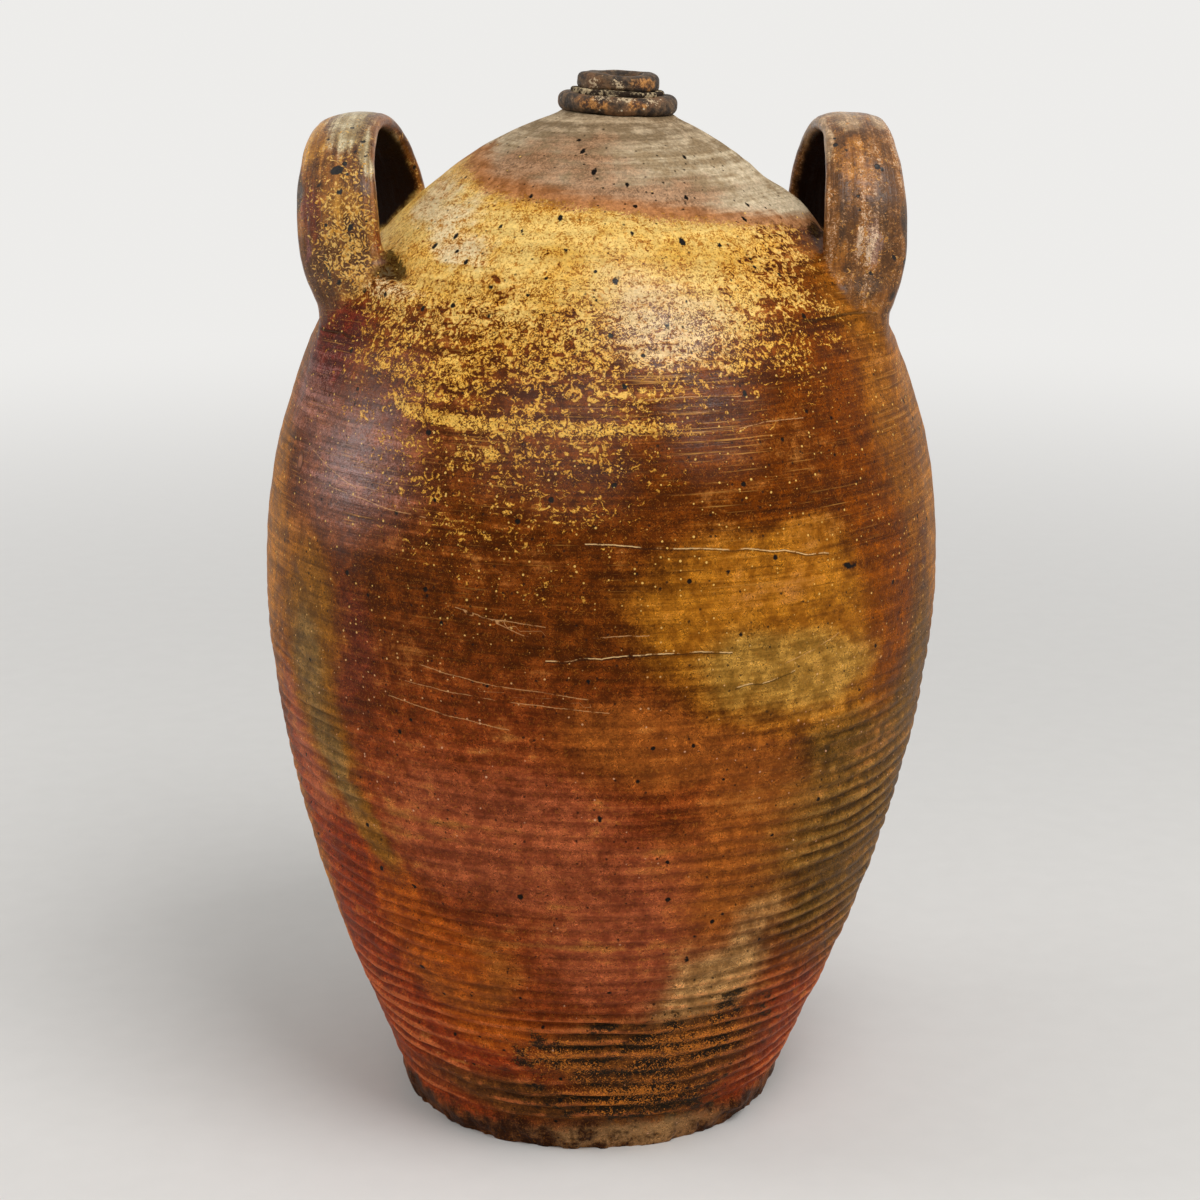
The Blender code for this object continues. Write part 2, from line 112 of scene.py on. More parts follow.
# Whitish crusts on them
CRUST = (
    (-35, 0.4660, 0.008, 0.0040),
    (-4, 0.4670, 0.005, 0.0034),
    (4, 0.4650, 0.005, 0.0030),
    (-18, 0.4600, 0.009, 0.0024),
    (8, 0.4598, 0.010, 0.0020),
    (34, 0.4595, 0.008, 0.0030),
)

# Strap handles
HANDLE_TOP = NECK_FLARE_TOP
HANDLE_SPREAD = 0.094
HANDLE_LEG_HEIGHT = 0.016
STRAP_TOP_WIDTH = 0.0290
STRAP_LEG_WIDTH = 0.0358
STRAP_TOP_THICKNESS = 0.0100
STRAP_LEG_THICKNESS = 0.0130
STRAP_ROOT_THICKNESS = 0.0200
STRAP_SINK = 0.034
STRAP_TUCK = 0.0025
STRAP_SQUARENESS = 2.3
# The flare where a strap meets the wall: how far up the strap it starts and how far over
# the wall it reaches, each with what the downhill side adds and how much both wander
FLARE_CLIMB = (0.0075, 0.0060, 0.0015)
FLARE_REACH = (0.0065, 0.0085, 0.0018)
FLARE_SINK = 0.0002
FLARE_BURIAL = 0.003
# Heights up the handles are given as a climb from here, 0, to their top, 1
CLIMB_BASE = 0.36
# Height of the point where each strap is seated, and its turn and lean in degrees
HANDLES = {
    "left": {"side": -1, "seat": DOME_HEIGHT + 0.0060, "turn": 9, "lean": 6},
    "right": {"side": 1, "seat": DOME_HEIGHT + 0.0015, "turn": 6, "lean": 2},
}

# Fineness of the meshes
WALL_COLUMNS = 540
WALL_STEP = 0.0015
INNER_ROWS = 12
NECK_COLUMNS = 200
STRAP_COLUMNS = 72
STRAP_ROWS = 110
FLARE_ROWS = 14
ARCH_STATIONS = 60
LEG_STEP = 0.001
SHARP_ANGLE = math.radians(50)


def noise(points, seed):
    """Smooth random values from -1 to 1, one lattice cell to a unit of length."""
    cell = np.floor(points).astype(np.int64)
    part = points - cell
    ease = part * part * (3 - 2 * part)
    total = np.zeros(points.shape[:-1])
    for corner in range(8):
        step = np.array([corner & 1, (corner >> 1) & 1, (corner >> 2) & 1])
        where = cell + step
        code = where[..., 0] * 73856093 + where[..., 1] * 19349663 + where[..., 2] * 83492791
        code = (code + seed * 40503) & 0xFFFFFFFF
        code = ((code ^ (code >> 15)) * 2246822519) & 0xFFFFFFFF
        code = ((code ^ (code >> 13)) * 3266489917) & 0xFFFFFFFF
        value = (code ^ (code >> 16)) & 0xFFFF
        weight = np.prod(np.where(step == 1, ease, 1 - ease), axis=-1)
        total += weight * (value / 32767.5 - 1)
    return total


def fractal(points, size, octaves, seed):
    """Noise whose largest lumps are about size across, each octave half as large."""
    total = 0.0
    strength = 1.0
    for octave in range(octaves):
        total = total + strength * noise(points * (2 ** octave / size), seed + octave)
        strength *= 0.5
    return total


def smooth(value, low, high):
    """0 below low, 1 above high, and an eased step between; low may be the larger."""
    share = np.clip((value - low) / (high - low), 0, 1)
    return share * share * (3 - 2 * share)


def outline_slopes():
    heights = np.array([height for height, _ in OUTLINE])
    radii = np.array([radius for _, radius in OUTLINE])
    spans = np.diff(heights)
    rises = np.diff(radii) / spans
    inner = (rises[:-1] * spans[1:] + rises[1:] * spans[:-1]) / (spans[:-1] + spans[1:])
    first = rises[0] + (rises[0] - rises[1]) / 2
    last = rises[-1] + (rises[-1] - rises[-2]) / 2
    return heights, radii, np.concatenate([[first], inner, [last]])


OUTLINE_HEIGHTS, OUTLINE_RADII, OUTLINE_SLOPES = outline_slopes()


def wall_radius(height):
    """Radius of the true outer face: a smooth curve through the outline."""
    height = np.clip(height, OUTLINE_HEIGHTS[0], OUTLINE_HEIGHTS[-1])
    index = np.searchsorted(OUTLINE_HEIGHTS, height, side="right") - 1
    index = np.clip(index, 0, len(OUTLINE) - 2)
    span = OUTLINE_HEIGHTS[index + 1] - OUTLINE_HEIGHTS[index]
    t = (height - OUTLINE_HEIGHTS[index]) / span
    value = (1 + 2 * t) * (1 - t) ** 2 * OUTLINE_RADII[index]
    value = value + t * (1 - t) ** 2 * span * OUTLINE_SLOPES[index]
    value = value + t * t * (3 - 2 * t) * OUTLINE_RADII[index + 1]
    return value + t * t * (t - 1) * span * OUTLINE_SLOPES[index + 1]


def wall_slope(height):
    step = 0.0005
    return (wall_radius(height + step) - wall_radius(height - step)) / (2 * step)


def around(angle, radius, height):
    """Points at an angle from the front, a distance from the axis and a height."""
    angle, radius, height = np.broadcast_arrays(angle, radius, height)
    return np.stack([radius * np.sin(angle), -radius * np.cos(angle), height], axis=-1)


def wall_normal(angle, height):
    slope = wall_slope(height)
    length = np.hypot(1.0, slope)
    return around(angle, 1.0 / length, -slope / length)


def wall_point(angle, height, offset=0.0):
    """Point on the upright wall, moved out square to it by the offset."""
    base = around(angle, wall_radius(height), height)
    return base + wall_normal(angle, height) * np.asarray(offset)[..., None]


def lean(height):
    return BODY_LEAN * (1 - (1 - np.clip(height / LEAN_HEIGHT, 0, 1)) ** 2)


def settle(points, with_neck=True):
    """The small lean and neck tilt that the finished jug has."""
    share = 0.0
    if with_neck:
        ratio = (points[..., 2] - CROWN_HEIGHT) / (NECK_BASE_HEIGHT - CROWN_HEIGHT)
        share = np.clip(ratio, 0, 1) ** NECK_SET_POWER
    across = points[..., 0] + lean(points[..., 2]) + NECK_SHIFT * share
    height = points[..., 2] - math.tan(NECK_TILT) * share * points[..., 0]
    return np.stack([across, points[..., 1], height], axis=-1)


def rib_wave(angle, height):
    """The throwing spiral from -1 in a hollow to 1 on a crest, a little unsteady."""
    place = around(angle, BELLY_RADIUS, height)
    drift = 0.55 * fractal(place * (1, 1, 2.5), 0.080, 3, 11)
    turn = (height - RIB_BASE) / RIB_PITCH + angle / (2 * math.pi) + drift
    wave = np.cos(2 * math.pi * turn)
    return 1 - 2 * ((1 - wave) / 2) ** 1.5


def rib_strength(angle, height):
    """How plain the ribs are: strong low down and at the sides, fading out towards the belly."""
    place = around(angle, BELLY_RADIUS, height)
    fade = smooth(height, 0.270, 0.170) * 0.62 + smooth(height, 0.105, 0.060) * 0.38
    start = smooth(height, 0.012, 0.022)
    front = 0.72 + 0.48 * smooth(np.abs(angle - 0.05), 0.35, 0.80)
    front = np.maximum(front, smooth(height, 0.110, 0.060))
    uneven = np.clip(0.85 + 0.75 * fractal(place * (1, 1, 3), 0.045, 3, 23), 0.10, 1.6)
    return fade * start * front * uneven


def hump(angle, height, centre_degrees, centre_height, half_width, half_height, tilt=0.0):
    """A soft round hump or patch on the wall: 1 in the middle and 0 from its edge out."""
    gap = (angle - math.radians(centre_degrees) + math.pi) % (2 * math.pi) - math.pi
    across = gap * wall_radius(np.clip(height, 0.02, 0.43))
    up = height - centre_height
    turned = across * math.cos(tilt) + up * math.sin(tilt)
    raised = up * math.cos(tilt) - across * math.sin(tilt)
    return smooth(np.hypot(turned / half_width, raised / half_height), 1.0, 0.0)


def foot_relief(angle, height):
    """The lumpy skirt of squeezed clay and grit round the foot."""
    place = around(angle, BELLY_RADIUS, height)
    lumps = smooth(fractal(place, 0.012, 3, 37), -0.3, 0.7)
    skirt = 0.0016 * lumps * smooth(height, 0.015, 0.009)
    undercut = -0.0013 * smooth(np.abs(height - 0.0150), 0.0028, 0.0)
    left = hump(angle, height, -38, 0.012, 0.030, 0.012)
    right = hump(angle, height, 49, 0.010, 0.012, 0.008)
    return skirt + undercut * (0.35 + 0.65 * lumps) + 0.0014 * left + 0.0022 * right


# Clay pushed up against the handle roots and smeared down the wall: degrees round the jug,
# height, half width, half height, tilt in radians, and how far it stands out
ROOT_CLAY = (
    (-70, 0.374, 0.038, 0.040, 0, 0.0026), (70, 0.374, 0.038, 0.040, 0, 0.0026),
    (112, 0.374, 0.038, 0.040, 0, 0.00234), (-110, 0.374, 0.038, 0.040, 0, 0.00234),
    (-66, 0.350, 0.022, 0.042, 0, 0.0022), (68, 0.352, 0.030, 0.036, 0, 0.0014),
    (-53, 0.3835, 0.034, 0.0070, -0.10, 0.0022), (-55, 0.3920, 0.018, 0.0060, -0.17, -0.0026),
    (63, 0.3730, 0.050, 0.0030, -0.03, -0.0016), (78, 0.4135, 0.022, 0.018, 0, 0.0034),
)


def root_relief(angle, height):
    return sum(depth * hump(angle, height, *place) for *place, depth in ROOT_CLAY)


def wall_relief(angle, height):
    """How far the handmade surface stands out from the true wall."""
    place = around(angle, wall_radius(height), height)
    ribs = 0.5 * RIB_HEIGHT * rib_wave(angle, height) * rib_strength(angle, height)
    wobble = 0.0005 * np.cos(2 * angle + 0.9 + 9 * height) + 0.0003 * np.cos(3 * angle - 12 * height)
    dents = 0.00045 * fractal(place, 0.045, 2, 41) + 0.00020 * fractal(place * (1, 1, 2.2), 0.013, 2, 43)
    scoring = 0.00010 * noise(place * (18, 18, 420), 47)
    fade = smooth(height, 0.449, 0.438)
    return ribs + (wobble + dents + scoring) * fade + foot_relief(angle, height) + root_relief(angle, height)


def turned_grid(heights, columns):
    angle = np.linspace(-math.pi, math.pi, columns, endpoint=False)
    return np.meshgrid(angle, np.asarray(heights))


def spaced(low, high):
    """Heights from high to low that are evenly spaced along the outline."""
    fine = np.linspace(high, low, 2000)
    radius = wall_radius(fine)
    along = np.concatenate([[0], np.cumsum(np.hypot(np.diff(fine), np.diff(radius)))])
    count = max(2, round(along[-1] / WALL_STEP))
    return np.interp(np.linspace(0, along[-1], count + 1), along, fine)


def new_object(name, data):
    obj = bpy.data.objects.new(name, data)
    bpy.context.scene.collection.objects.link(obj)
    return obj


def grid_object(name, rows, closed=False, caps=()):
    """A mesh through rings of points; it may close on itself or have a cap at an end."""
    count, columns = rows.shape[:2]
    points = [tuple(point) for point in rows.reshape(-1, 3)]
    faces = []
    for row in range(count if closed else count - 1):
        below = (row + 1) % count
        for column in range(columns):
            beside = (column + 1) % columns
            faces.append((
                row * columns + column, below * columns + column,
                below * columns + beside, row * columns + beside))
    for cap in caps:
        row = 0 if cap == "first" else count - 1
        points.append(tuple(rows[row].mean(axis=0)))
        for column in range(columns):
            ends = (row * columns + column, row * columns + (column + 1) % columns)
            faces.append((*(ends if cap == "first" else reversed(ends)), len(points) - 1))
    mesh = bpy.data.meshes.new(name)
    mesh.from_pydata(points, [], faces)
    mesh.validate()
    mesh.shade_smooth()
    mesh.set_sharp_from_angle(angle=SHARP_ANGLE)
    return new_object(name, mesh)


def paint(obj, **weights):
    """Store weights, one value for each point of the mesh, for its material to read."""
    total = len(obj.data.vertices)
    for name, values in weights.items():
        values = np.asarray(values, dtype=np.float32).ravel()
        padded = np.zeros(total, dtype=np.float32)
        padded[:len(values)] = values
        padded[len(values):] = values[-1]
        layer = obj.data.attributes.new(name, "FLOAT", "POINT")
        layer.data.foreach_set("value", padded)


def srgb(red, green, blue):
    """A colour given by its screen values, 0 to 255, as the shaders want it."""
    result = []
    for value in (red, green, blue):
        share = value / 255
        result.append(share / 12.92 if share <= 0.04045 else ((share + 0.055) / 1.055) ** 2.4)
    return (*result, 1.0)


# What the kiln left where. Each zone has a light and a dark colour, and soft oval patches
# given as degrees round the jug, height, half width, half height and tilt in degrees.
# A later zone lies over the earlier ones.
ZONES = {
    "terracotta": ((142, 60, 20), (114, 46, 12), (
        (-22, 0.100, 0.250, 0.220, 0), (150, 0.080, 0.300, 0.150, 0))),
    "red": ((148, 53, 16), (114, 38, 10), (
        (-60, 0.120, 0.070, 0.150, 0), (-42, 0.050, 0.100, 0.080, 0), (54, 0.045, 0.068, 0.056, 0),
        (120, 0.050, 0.100, 0.060, 0))),
    "brick": ((118, 51, 28), (88, 35, 18), ((-43, 0.238, 0.026, 0.060, 0),)),
    "rose": ((168, 86, 50), (136, 62, 34), (
        (-14, 0.160, 0.100, 0.058, -14), (8, 0.122, 0.068, 0.070, 0), (-64, 0.180, 0.024, 0.060, 0))),
    "russet": ((166, 90, 30), (134, 68, 20), (
        (27, 0.160, 0.052, 0.092, 0), (13, 0.206, 0.080, 0.034, 0), (-30, 0.092, 0.050, 0.040, 0))),
    "leather": ((112, 51, 0), (88, 38, 0), (
        (42, 0.326, 0.130, 0.064, 0), (60, 0.250, 0.060, 0.080, 0), (-120, 0.280, 0.120, 0.080, 0))),
    "hazel": ((148, 88, 20), (120, 68, 12), (
        (64, 0.315, 0.046, 0.075, 0), (-57, 0.244, 0.050, 0.076, 8), (68, 0.372, 0.050, 0.040, 0))),
    "olive": ((116, 79, 26), (88, 59, 14), (
        (56, 0.165, 0.110, 0.115, 0), (46, 0.202, 0.056, 0.036, 0), (70, 0.165, 0.060, 0.160, 0),
        (50, 0.122, 0.044, 0.040, 0), (200, 0.140, 0.130, 0.100, 0),
        (92, 0.190, 0.050, 0.060, 20), (104, 0.120, 0.040, 0.040, 0))),
    "ochre": ((180, 114, 26), (146, 84, 12), (
        (22, 0.262, 0.068, 0.056, 0), (38, 0.248, 0.090, 0.056, 0), (32, 0.280, 0.054, 0.028, 0),
        (170, 0.250, 0.180, 0.080, 0))),
    "orange": ((136, 66, 0), (106, 48, 0), (
        (54, 0.262, 0.036, 0.080, 0), (50, 0.292, 0.026, 0.020, 0), (-51, 0.357, 0.015, 0.015, 0))),
    "amber": ((176, 84, 18), (138, 58, 10), (
        (-39, 0.112, 0.030, 0.066, 32), (-22, 0.062, 0.050, 0.020, 0))),
    "mustard": ((142, 90, 24), (112, 70, 14), (
        (-56, 0.250, 0.042, 0.046, 0), (-54, 0.206, 0.036, 0.066, 6), (-47, 0.158, 0.018, 0.038, 30))),
    "moss": ((134, 100, 52), (104, 76, 36), (
        (-56, 0.226, 0.024, 0.046, 0), (-54, 0.188, 0.016, 0.040, 16))),
    "lichen": ((184, 136, 58), (148, 104, 36), (
        (36, 0.238, 0.052, 0.026, 8), (25, 0.244, 0.042, 0.022, 0))),
    "sand": ((196, 148, 90), (152, 108, 60), ((26, 0.094, 0.056, 0.036, 50),)),
    "tan": ((174, 111, 40), (140, 86, 22), (
        (-77, 0.290, 0.046, 0.130, 0), (80, 0.300, 0.044, 0.120, 0), (-84, 0.120, 0.040, 0.100, 0),
        (100, 0.260, 0.050, 0.070, 30), (215, 0.330, 0.100, 0.060, 0))),
    "plum": ((136, 76, 46), (98, 48, 28), (
        (-48, 0.320, 0.080, 0.062, 0), (-64, 0.342, 0.056, 0.044, 0), (140, 0.330, 0.100, 0.050, 0))),
    "garnet": ((112, 38, 24), (74, 22, 12), ((-61, 0.362, 0.038, 0.024, 0), (100, 0.362, 0.050, 0.020, 0))),
    "soot": ((112, 64, 24), (66, 38, 14), (
        (-8, 0.024, 0.130, 0.018, 0), (18, 0.050, 0.090, 0.044, 0), (180, 0.040, 0.160, 0.040, 0))),
}
# Where the glaze ran thick and shines; the same patches place the painted highlights on the ash and on the
# scored lines
GLOSS_AND_HIGHLIGHT = (
    (12, 0.376, 0.064, 0.038, 0), (20, 0.347, 0.040, 0.030, 0), (-46, 0.318, 0.048, 0.050, 0),
    (-8, 0.340, 0.050, 0.040, 0), (165, 0.360, 0.120, 0.060, 0))
# Where reduction left black in the hollows of the ribs
CHAR = (
    (24, 0.056, 0.066, 0.036, 0), (12, 0.034, 0.080, 0.026, 0), (-6, 0.050, 0.050, 0.024, 0),
    (175, 0.045, 0.120, 0.044, 0))
# Paler clay and grit round the foot
GRIT = ((14, 0.008, 0.080, 0.024, 0), (-4, 0.006, 0.030, 0.014, 0), (150, 0.008, 0.100, 0.022, 0))
# Painted shade in the hollows at the handle roots, red-brown flushes on the bare dome, creamy ash glaze
ROOT_SHADE = (
    (-59, 0.3925, 0.0230, 0.0068, -10), (80, 0.3970, 0.018, 0.008, 0),
    (72, 0.4035, 0.014, 0.004, 10))
BLUSH = (
    (-34, 0.428, 0.056, 0.022, 0), (8, 0.424, 0.070, 0.014, 0), (-8, 0.434, 0.048, 0.014, 0),
    (150, 0.425, 0.080, 0.020, 0))
CREAM = (
    (-52, 0.414, 0.050, 0.018, 0), (-70, 0.420, 0.040, 0.020, 0), (-38, 0.406, 0.036, 0.012, 0),
    (-52, 0.3840, 0.034, 0.008, -6), (200, 0.395, 0.060, 0.020, 0))


def patches_weight(patches, angle, height):
    total = np.zeros(np.broadcast(angle, height).shape)
    for degrees, middle, half_width, half_height, tilt in patches:
        patch = hump(angle, height, degrees, middle, half_width, half_height, math.radians(tilt))
        total = np.maximum(total, patch)
    return total


def zone_weights(angle, height):
    """Weight of every glaze zone on the wall, with outlines that wander."""
    place = around(angle, wall_radius(height), height)
    turned = angle + 0.07 * fractal(place, 0.055, 4, 61)
    lifted = height + 0.008 * fractal(place * (1, 1, 1.6), 0.050, 4, 67)
    weights = {zone: patches_weight(look[2], turned, lifted) for zone, look in ZONES.items()}
    weights["gloss_and_highlight"] = patches_weight(GLOSS_AND_HIGHLIGHT, turned, lifted)
    weights["char"] = patches_weight(CHAR, turned, lifted)
    weights["blush"] = patches_weight(BLUSH, turned, lifted)
    weights["grit"] = patches_weight(GRIT, turned, height)
    weights["cream"] = patches_weight(CREAM, turned, lifted)
    weights["hollow"] = patches_weight(ROOT_SHADE, angle, height)
    return weights


# How much of the wall the ash glaze covers: lines of equal cover, as (degrees, height)
ASH_LINES = {
    1.00: (
        (-180, 0.398), (-130, 0.400), (-80, 0.404), (-55, 0.400), (-35, 0.404), (-20, 0.402), (-5, 0.394),
        (10, 0.388), (22, 0.396), (34, 0.412), (44, 0.424), (65, 0.424), (80, 0.424),
        (130, 0.402), (180, 0.398)),
    0.66: (
        (-180, 0.385), (-130, 0.392), (-80, 0.392), (-58, 0.387), (-45, 0.378), (-30, 0.380), (-15, 0.376),
        (0, 0.368), (15, 0.364), (28, 0.371), (40, 0.389), (50, 0.408), (62, 0.412),
        (80, 0.412), (180, 0.385)),
    0.50: (
        (-180, 0.365), (-130, 0.380), (-80, 0.386), (-58, 0.380), (-45, 0.363), (-32, 0.360), (-20, 0.357),
        (-6, 0.356), (3, 0.358), (15, 0.3585), (28, 0.3600), (40, 0.369), (48, 0.384), (56, 0.398),
        (64, 0.403), (80, 0.404), (180, 0.365)),
    0.28: (
        (-180, 0.345), (-130, 0.370), (-80, 0.382), (-58, 0.372), (-46, 0.332), (-30, 0.310), (-14, 0.297),
        (0, 0.302), (8, 0.334), (16, 0.356), (30, 0.3565), (42, 0.354), (52, 0.366), (58, 0.392),
        (66, 0.396), (80, 0.396), (180, 0.345)),
    0.00: (
        (-180, 0.320), (-130, 0.345), (-80, 0.372), (-62, 0.345), (-50, 0.306), (-34, 0.276), (-18, 0.262),
        (-4, 0.260), (8, 0.285), (18, 0.318), (30, 0.326), (45, 0.334), (56, 0.345), (66, 0.382),
        (80, 0.386), (180, 0.320)),
}
# Upper edge of the ash glaze, under the bare dome
ASH_EDGE = (
    (-180, 0.412), (-130, 0.420), (-85, 0.434), (-60, 0.431), (-45, 0.4245), (-22, 0.4205), (0, 0.4180),
    (20, 0.4155), (40, 0.4125), (60, 0.4085), (80, 0.402), (120, 0.404), (180, 0.412))
# A streak of ash along a throwing line, as (degrees, height)
ASH_STREAK = (
    (-42, 0.3480), (-36, 0.3410), (-25, 0.3390), (-10, 0.3395), (4, 0.3380), (14, 0.3370), (28, 0.3340))


def along_edge(edge, angle):
    degrees = np.degrees((angle + math.pi) % (2 * math.pi) - math.pi)
    return np.interp(degrees, [point[0] for point in edge], [point[1] for point in edge])


def ash_weight(angle, height):
    """How much of the wall the ash glaze covers, from 1 down to 0 where its last flecks end."""
    place = around(angle, wall_radius(height), height)
    lifted = height + 0.0045 * fractal(place * (1, 1, 1.5), 0.040, 4, 71)
    levels = sorted(ASH_LINES)
    lines = [along_edge(ASH_LINES[level], angle) for level in levels]
    cover = np.zeros(np.broadcast(angle, height).shape)
    for low, high, below, above in zip(levels, levels[1:], lines, lines[1:]):
        share = np.clip((lifted - below) / (above - below), 0, 1)
        cover = np.where(lifted > below, low + (high - low) * share, cover)
    degrees = np.degrees(angle)
    fade = smooth(degrees, -46, -36) * smooth(degrees, 30, -4)
    streak = smooth(np.abs(height - along_edge(ASH_STREAK, angle)), 0.0052, 0.0014)
    return np.maximum(cover, 0.84 * streak * fade)


def bare_weight(angle, height):
    """Height above the ash glaze's upper edge in centimetres, 0.5 being on the edge."""
    place = around(angle, wall_radius(height), height)
    edge = along_edge(ASH_EDGE, angle) + 0.0016 * fractal(place, 0.030, 3, 73)
    return np.clip(0.5 + (height - edge) / 0.010, -2, 3)


# Drying cracks and scratches, as (degrees, height), and pits, as (degrees, height, radius)
CRACKS = (
    ((-9, 0.2462), (-5, 0.2465), (-3, 0.2478), (0, 0.2474), (4, 0.2488), (9, 0.2496),
     (15, 0.2492), (21, 0.2478)),
    ((-3, 0.2945), (4, 0.2935), (12, 0.2922), (22, 0.2900), (30, 0.2872), (35, 0.2840), (39, 0.2832)),
    ((21, 0.2322), (24, 0.2330), (26, 0.2328), (29, 0.2345), (32, 0.2362)),
)
# Creases round the handle roots, drawn as lines of painted shade
CREASES = (
    ((44, 0.3746), (52, 0.3736), (61, 0.3738), (70, 0.3728), (80, 0.3716), (92, 0.3700)),
    ((-78, 0.3640), (-70, 0.3655), (-62, 0.3650), (-56, 0.3640)),
)
SCRATCHES = (
    ((-54, 0.3062), (-44, 0.3040), (-36, 0.3018), (-29, 0.3005)),
    ((-24, 0.2660), (-18, 0.2625), (-12, 0.2562), (-8, 0.2545)),
    ((-22, 0.2630), (-14, 0.2618), (-8, 0.2600)),
    ((-36, 0.2320), (-24, 0.2290), (-10, 0.2268), (2, 0.2240)),
    ((-30, 0.2395), (-20, 0.2350), (-8, 0.2322), (-2, 0.2300)),
    ((-2, 0.2560), (4, 0.2572), (8, 0.2568)),
    ((-38, 0.2240), (-26, 0.2190), (-14, 0.2150)),
    ((30, 0.2400), (36, 0.2440), (41, 0.2490)),
    ((24, 0.3370), (30, 0.3385), (38, 0.3378)),
    ((8, 0.3495), (16, 0.3500), (26, 0.3492)),
    ((10, 0.3445), (20, 0.3440), (28, 0.3452)),
    ((-60, 0.3180), (-50, 0.3110), (-44, 0.3070)),
    ((120, 0.2600), (140, 0.2640), (158, 0.2610)), ((-150, 0.2200), (-130, 0.2240), (-118, 0.2230)),
)
PITS = (
    (-31, 0.3340, 1.3), (-19, 0.1960, 0.8), (0, 0.1765, 1.2), (12, 0.1550, 1.0), (-33, 0.1540, 0.9),
    (-39, 0.0910, 1.3), (22, 0.2550, 1.0), (20, 0.2810, 1.0), (-18, 0.2340, 0.9), (-2, 0.2375, 1.0),
    (11, 0.2505, 0.6), (35, 0.2350, 0.7), (-27, 0.0840, 0.9), (18, 0.1060, 0.7), (-55, 0.1200, 0.7),
    (4, 0.1180, 0.7), (15, 0.0970, 0.7), (-47, 0.4030, 1.2), (-34, 0.3985, 1.0), (-12, 0.4160, 1.1),
    (-22, 0.4110, 0.7), (21, 0.4070, 1.3), (44, 0.4130, 1.0), (3, 0.3935, 1.2), (13, 0.3770, 1.0),
    (30, 0.3920, 0.7), (-40, 0.3800, 1.1), (-5, 0.4330, 1.1), (15, 0.4010, 0.6), (-16, 0.3880, 0.7),
    (4, 0.3550, 1.1), (26, 0.3500, 1.2), (-60, 0.2980, 0.7), (58, 0.2450, 0.8), (63, 0.2300, 0.7),
    (60, 0.2650, 0.7), (150, 0.3000, 1.2), (-140, 0.2000, 1.2), (-160, 0.3500, 1.2), (41.8, 0.2768, 0.9),
    (42.7, 0.2763, 1.2), (43.6, 0.2758, 1.2), (44.5, 0.2761, 0.8), (-42, 0.4075, 1.1), (-29, 0.4120, 0.8),
    (-9, 0.4045, 0.7), (8, 0.4105, 0.7), (31, 0.4050, 0.9), (38, 0.3960, 0.8), (-25, 0.3900, 0.9),
    (-52, 0.3820, 0.9), (18, 0.3850, 0.7), (-3, 0.3760, 0.8), (44, 0.3920, 0.8), (-65, 0.3950, 0.9),
    (-24, 0.4235, 0.8), (8, 0.4280, 0.8), (28, 0.4225, 0.9), (50, 0.4180, 0.8), (-14, 0.4400, 0.9),
    (36, 0.4380, 0.8), (33, 0.2650, 0.9), (50, 0.2380, 0.9), (28, 0.2180, 0.8), (47, 0.2200, 0.9),
    (17, 0.2230, 0.7), (55, 0.2850, 0.8), (-47, 0.1750, 0.9), (-60, 0.1450, 0.8), (-30, 0.1280, 0.8),
    (-8, 0.1250, 0.7), (24, 0.1260, 0.8), (34, 0.1080, 0.9), (-54, 0.0850, 0.9), (-18, 0.0980, 0.7),
    (-66, 0.2750, 1.0), (-62, 0.2600, 0.8), (-40, 0.2650, 0.7), (-28, 0.3080, 0.8),
)
# How far a line is felt, and the values away from all lines, pits and scars, in millimetres
LINE_NEAR = 3.0
LINE_FAR = 200.0
PIT_FAR = 5.0
SCAR_FAR = 9.0
# An oval scar left by a drip that broke off: degrees, height and width for its height
SCAR = (-63, 0.3110, 0.75)


def line_weight(lines, angle, height, seed):
    """Signed height above the nearest of the lines in millimetres.

    Away from the lines it is so large that a change of its sign shows nowhere.
    """
    degrees = np.degrees(angle)
    result = np.full(np.broadcast(angle, height).shape, LINE_FAR)
    jitter = 0.0004 * fractal(around(angle, BELLY_RADIUS, 0.0 * height), 0.010, 3, seed)
    for line in lines:
        middle = np.interp(degrees, [point[0] for point in line], [point[1] for point in line])
        gap = (height - middle - jitter) * 1000
        near = (degrees > line[0][0]) & (degrees < line[-1][0]) & (np.abs(gap) < LINE_NEAR)
        result = np.where(near & (np.abs(gap) < np.abs(result)), gap, result)
    return result


def pit_weight(angle, height):
    """Distance from the edge of the nearest pit in millimetres, up to a limit."""
    result = np.full(np.broadcast(angle, height).shape, PIT_FAR)
    for degrees, middle, radius in PITS:
        across = (angle - math.radians(degrees)) * wall_radius(np.array(middle)) * 1000
        result = np.minimum(result, np.hypot(across, (height - middle) * 1000) - radius)
    return result


def scar_weight(angle, height):
    """Distance from the middle of the scar in millimetres of its height, up to a limit."""
    degrees, middle, narrow = SCAR
    across = (angle - math.radians(degrees)) * BELLY_RADIUS * 1000 / narrow
    return np.minimum(np.hypot(across, (height - middle) * 1000), SCAR_FAR)


def wall_weights(angle, height):
    weights = zone_weights(angle, height)
    weights["rib"] = rib_wave(angle, height) * rib_strength(angle, height)
    weights["ash"] = ash_weight(angle, height)
    weights["bare"] = bare_weight(angle, height)
    weights["crack"] = line_weight(CRACKS, angle, height, 79)
    weights["scratch"] = line_weight(SCRATCHES, angle, height, 157)
    weights["crease"] = line_weight(CREASES, angle, height, 167)
    weights["pit"] = pit_weight(angle, height)
    weights["scar"] = scar_weight(angle, height)
    weights["rise"] = height
    return weights


def inner_rows(low, high):
    """Heights and radii up the inside of a wall section, from its base to its top."""
    heights = np.linspace(low, high, INNER_ROWS)
    offset = WALL_THICKNESS * np.hypot(1.0, wall_slope(heights))
    return heights, np.maximum(wall_radius(heights) - offset, MOUTH_RADIUS)


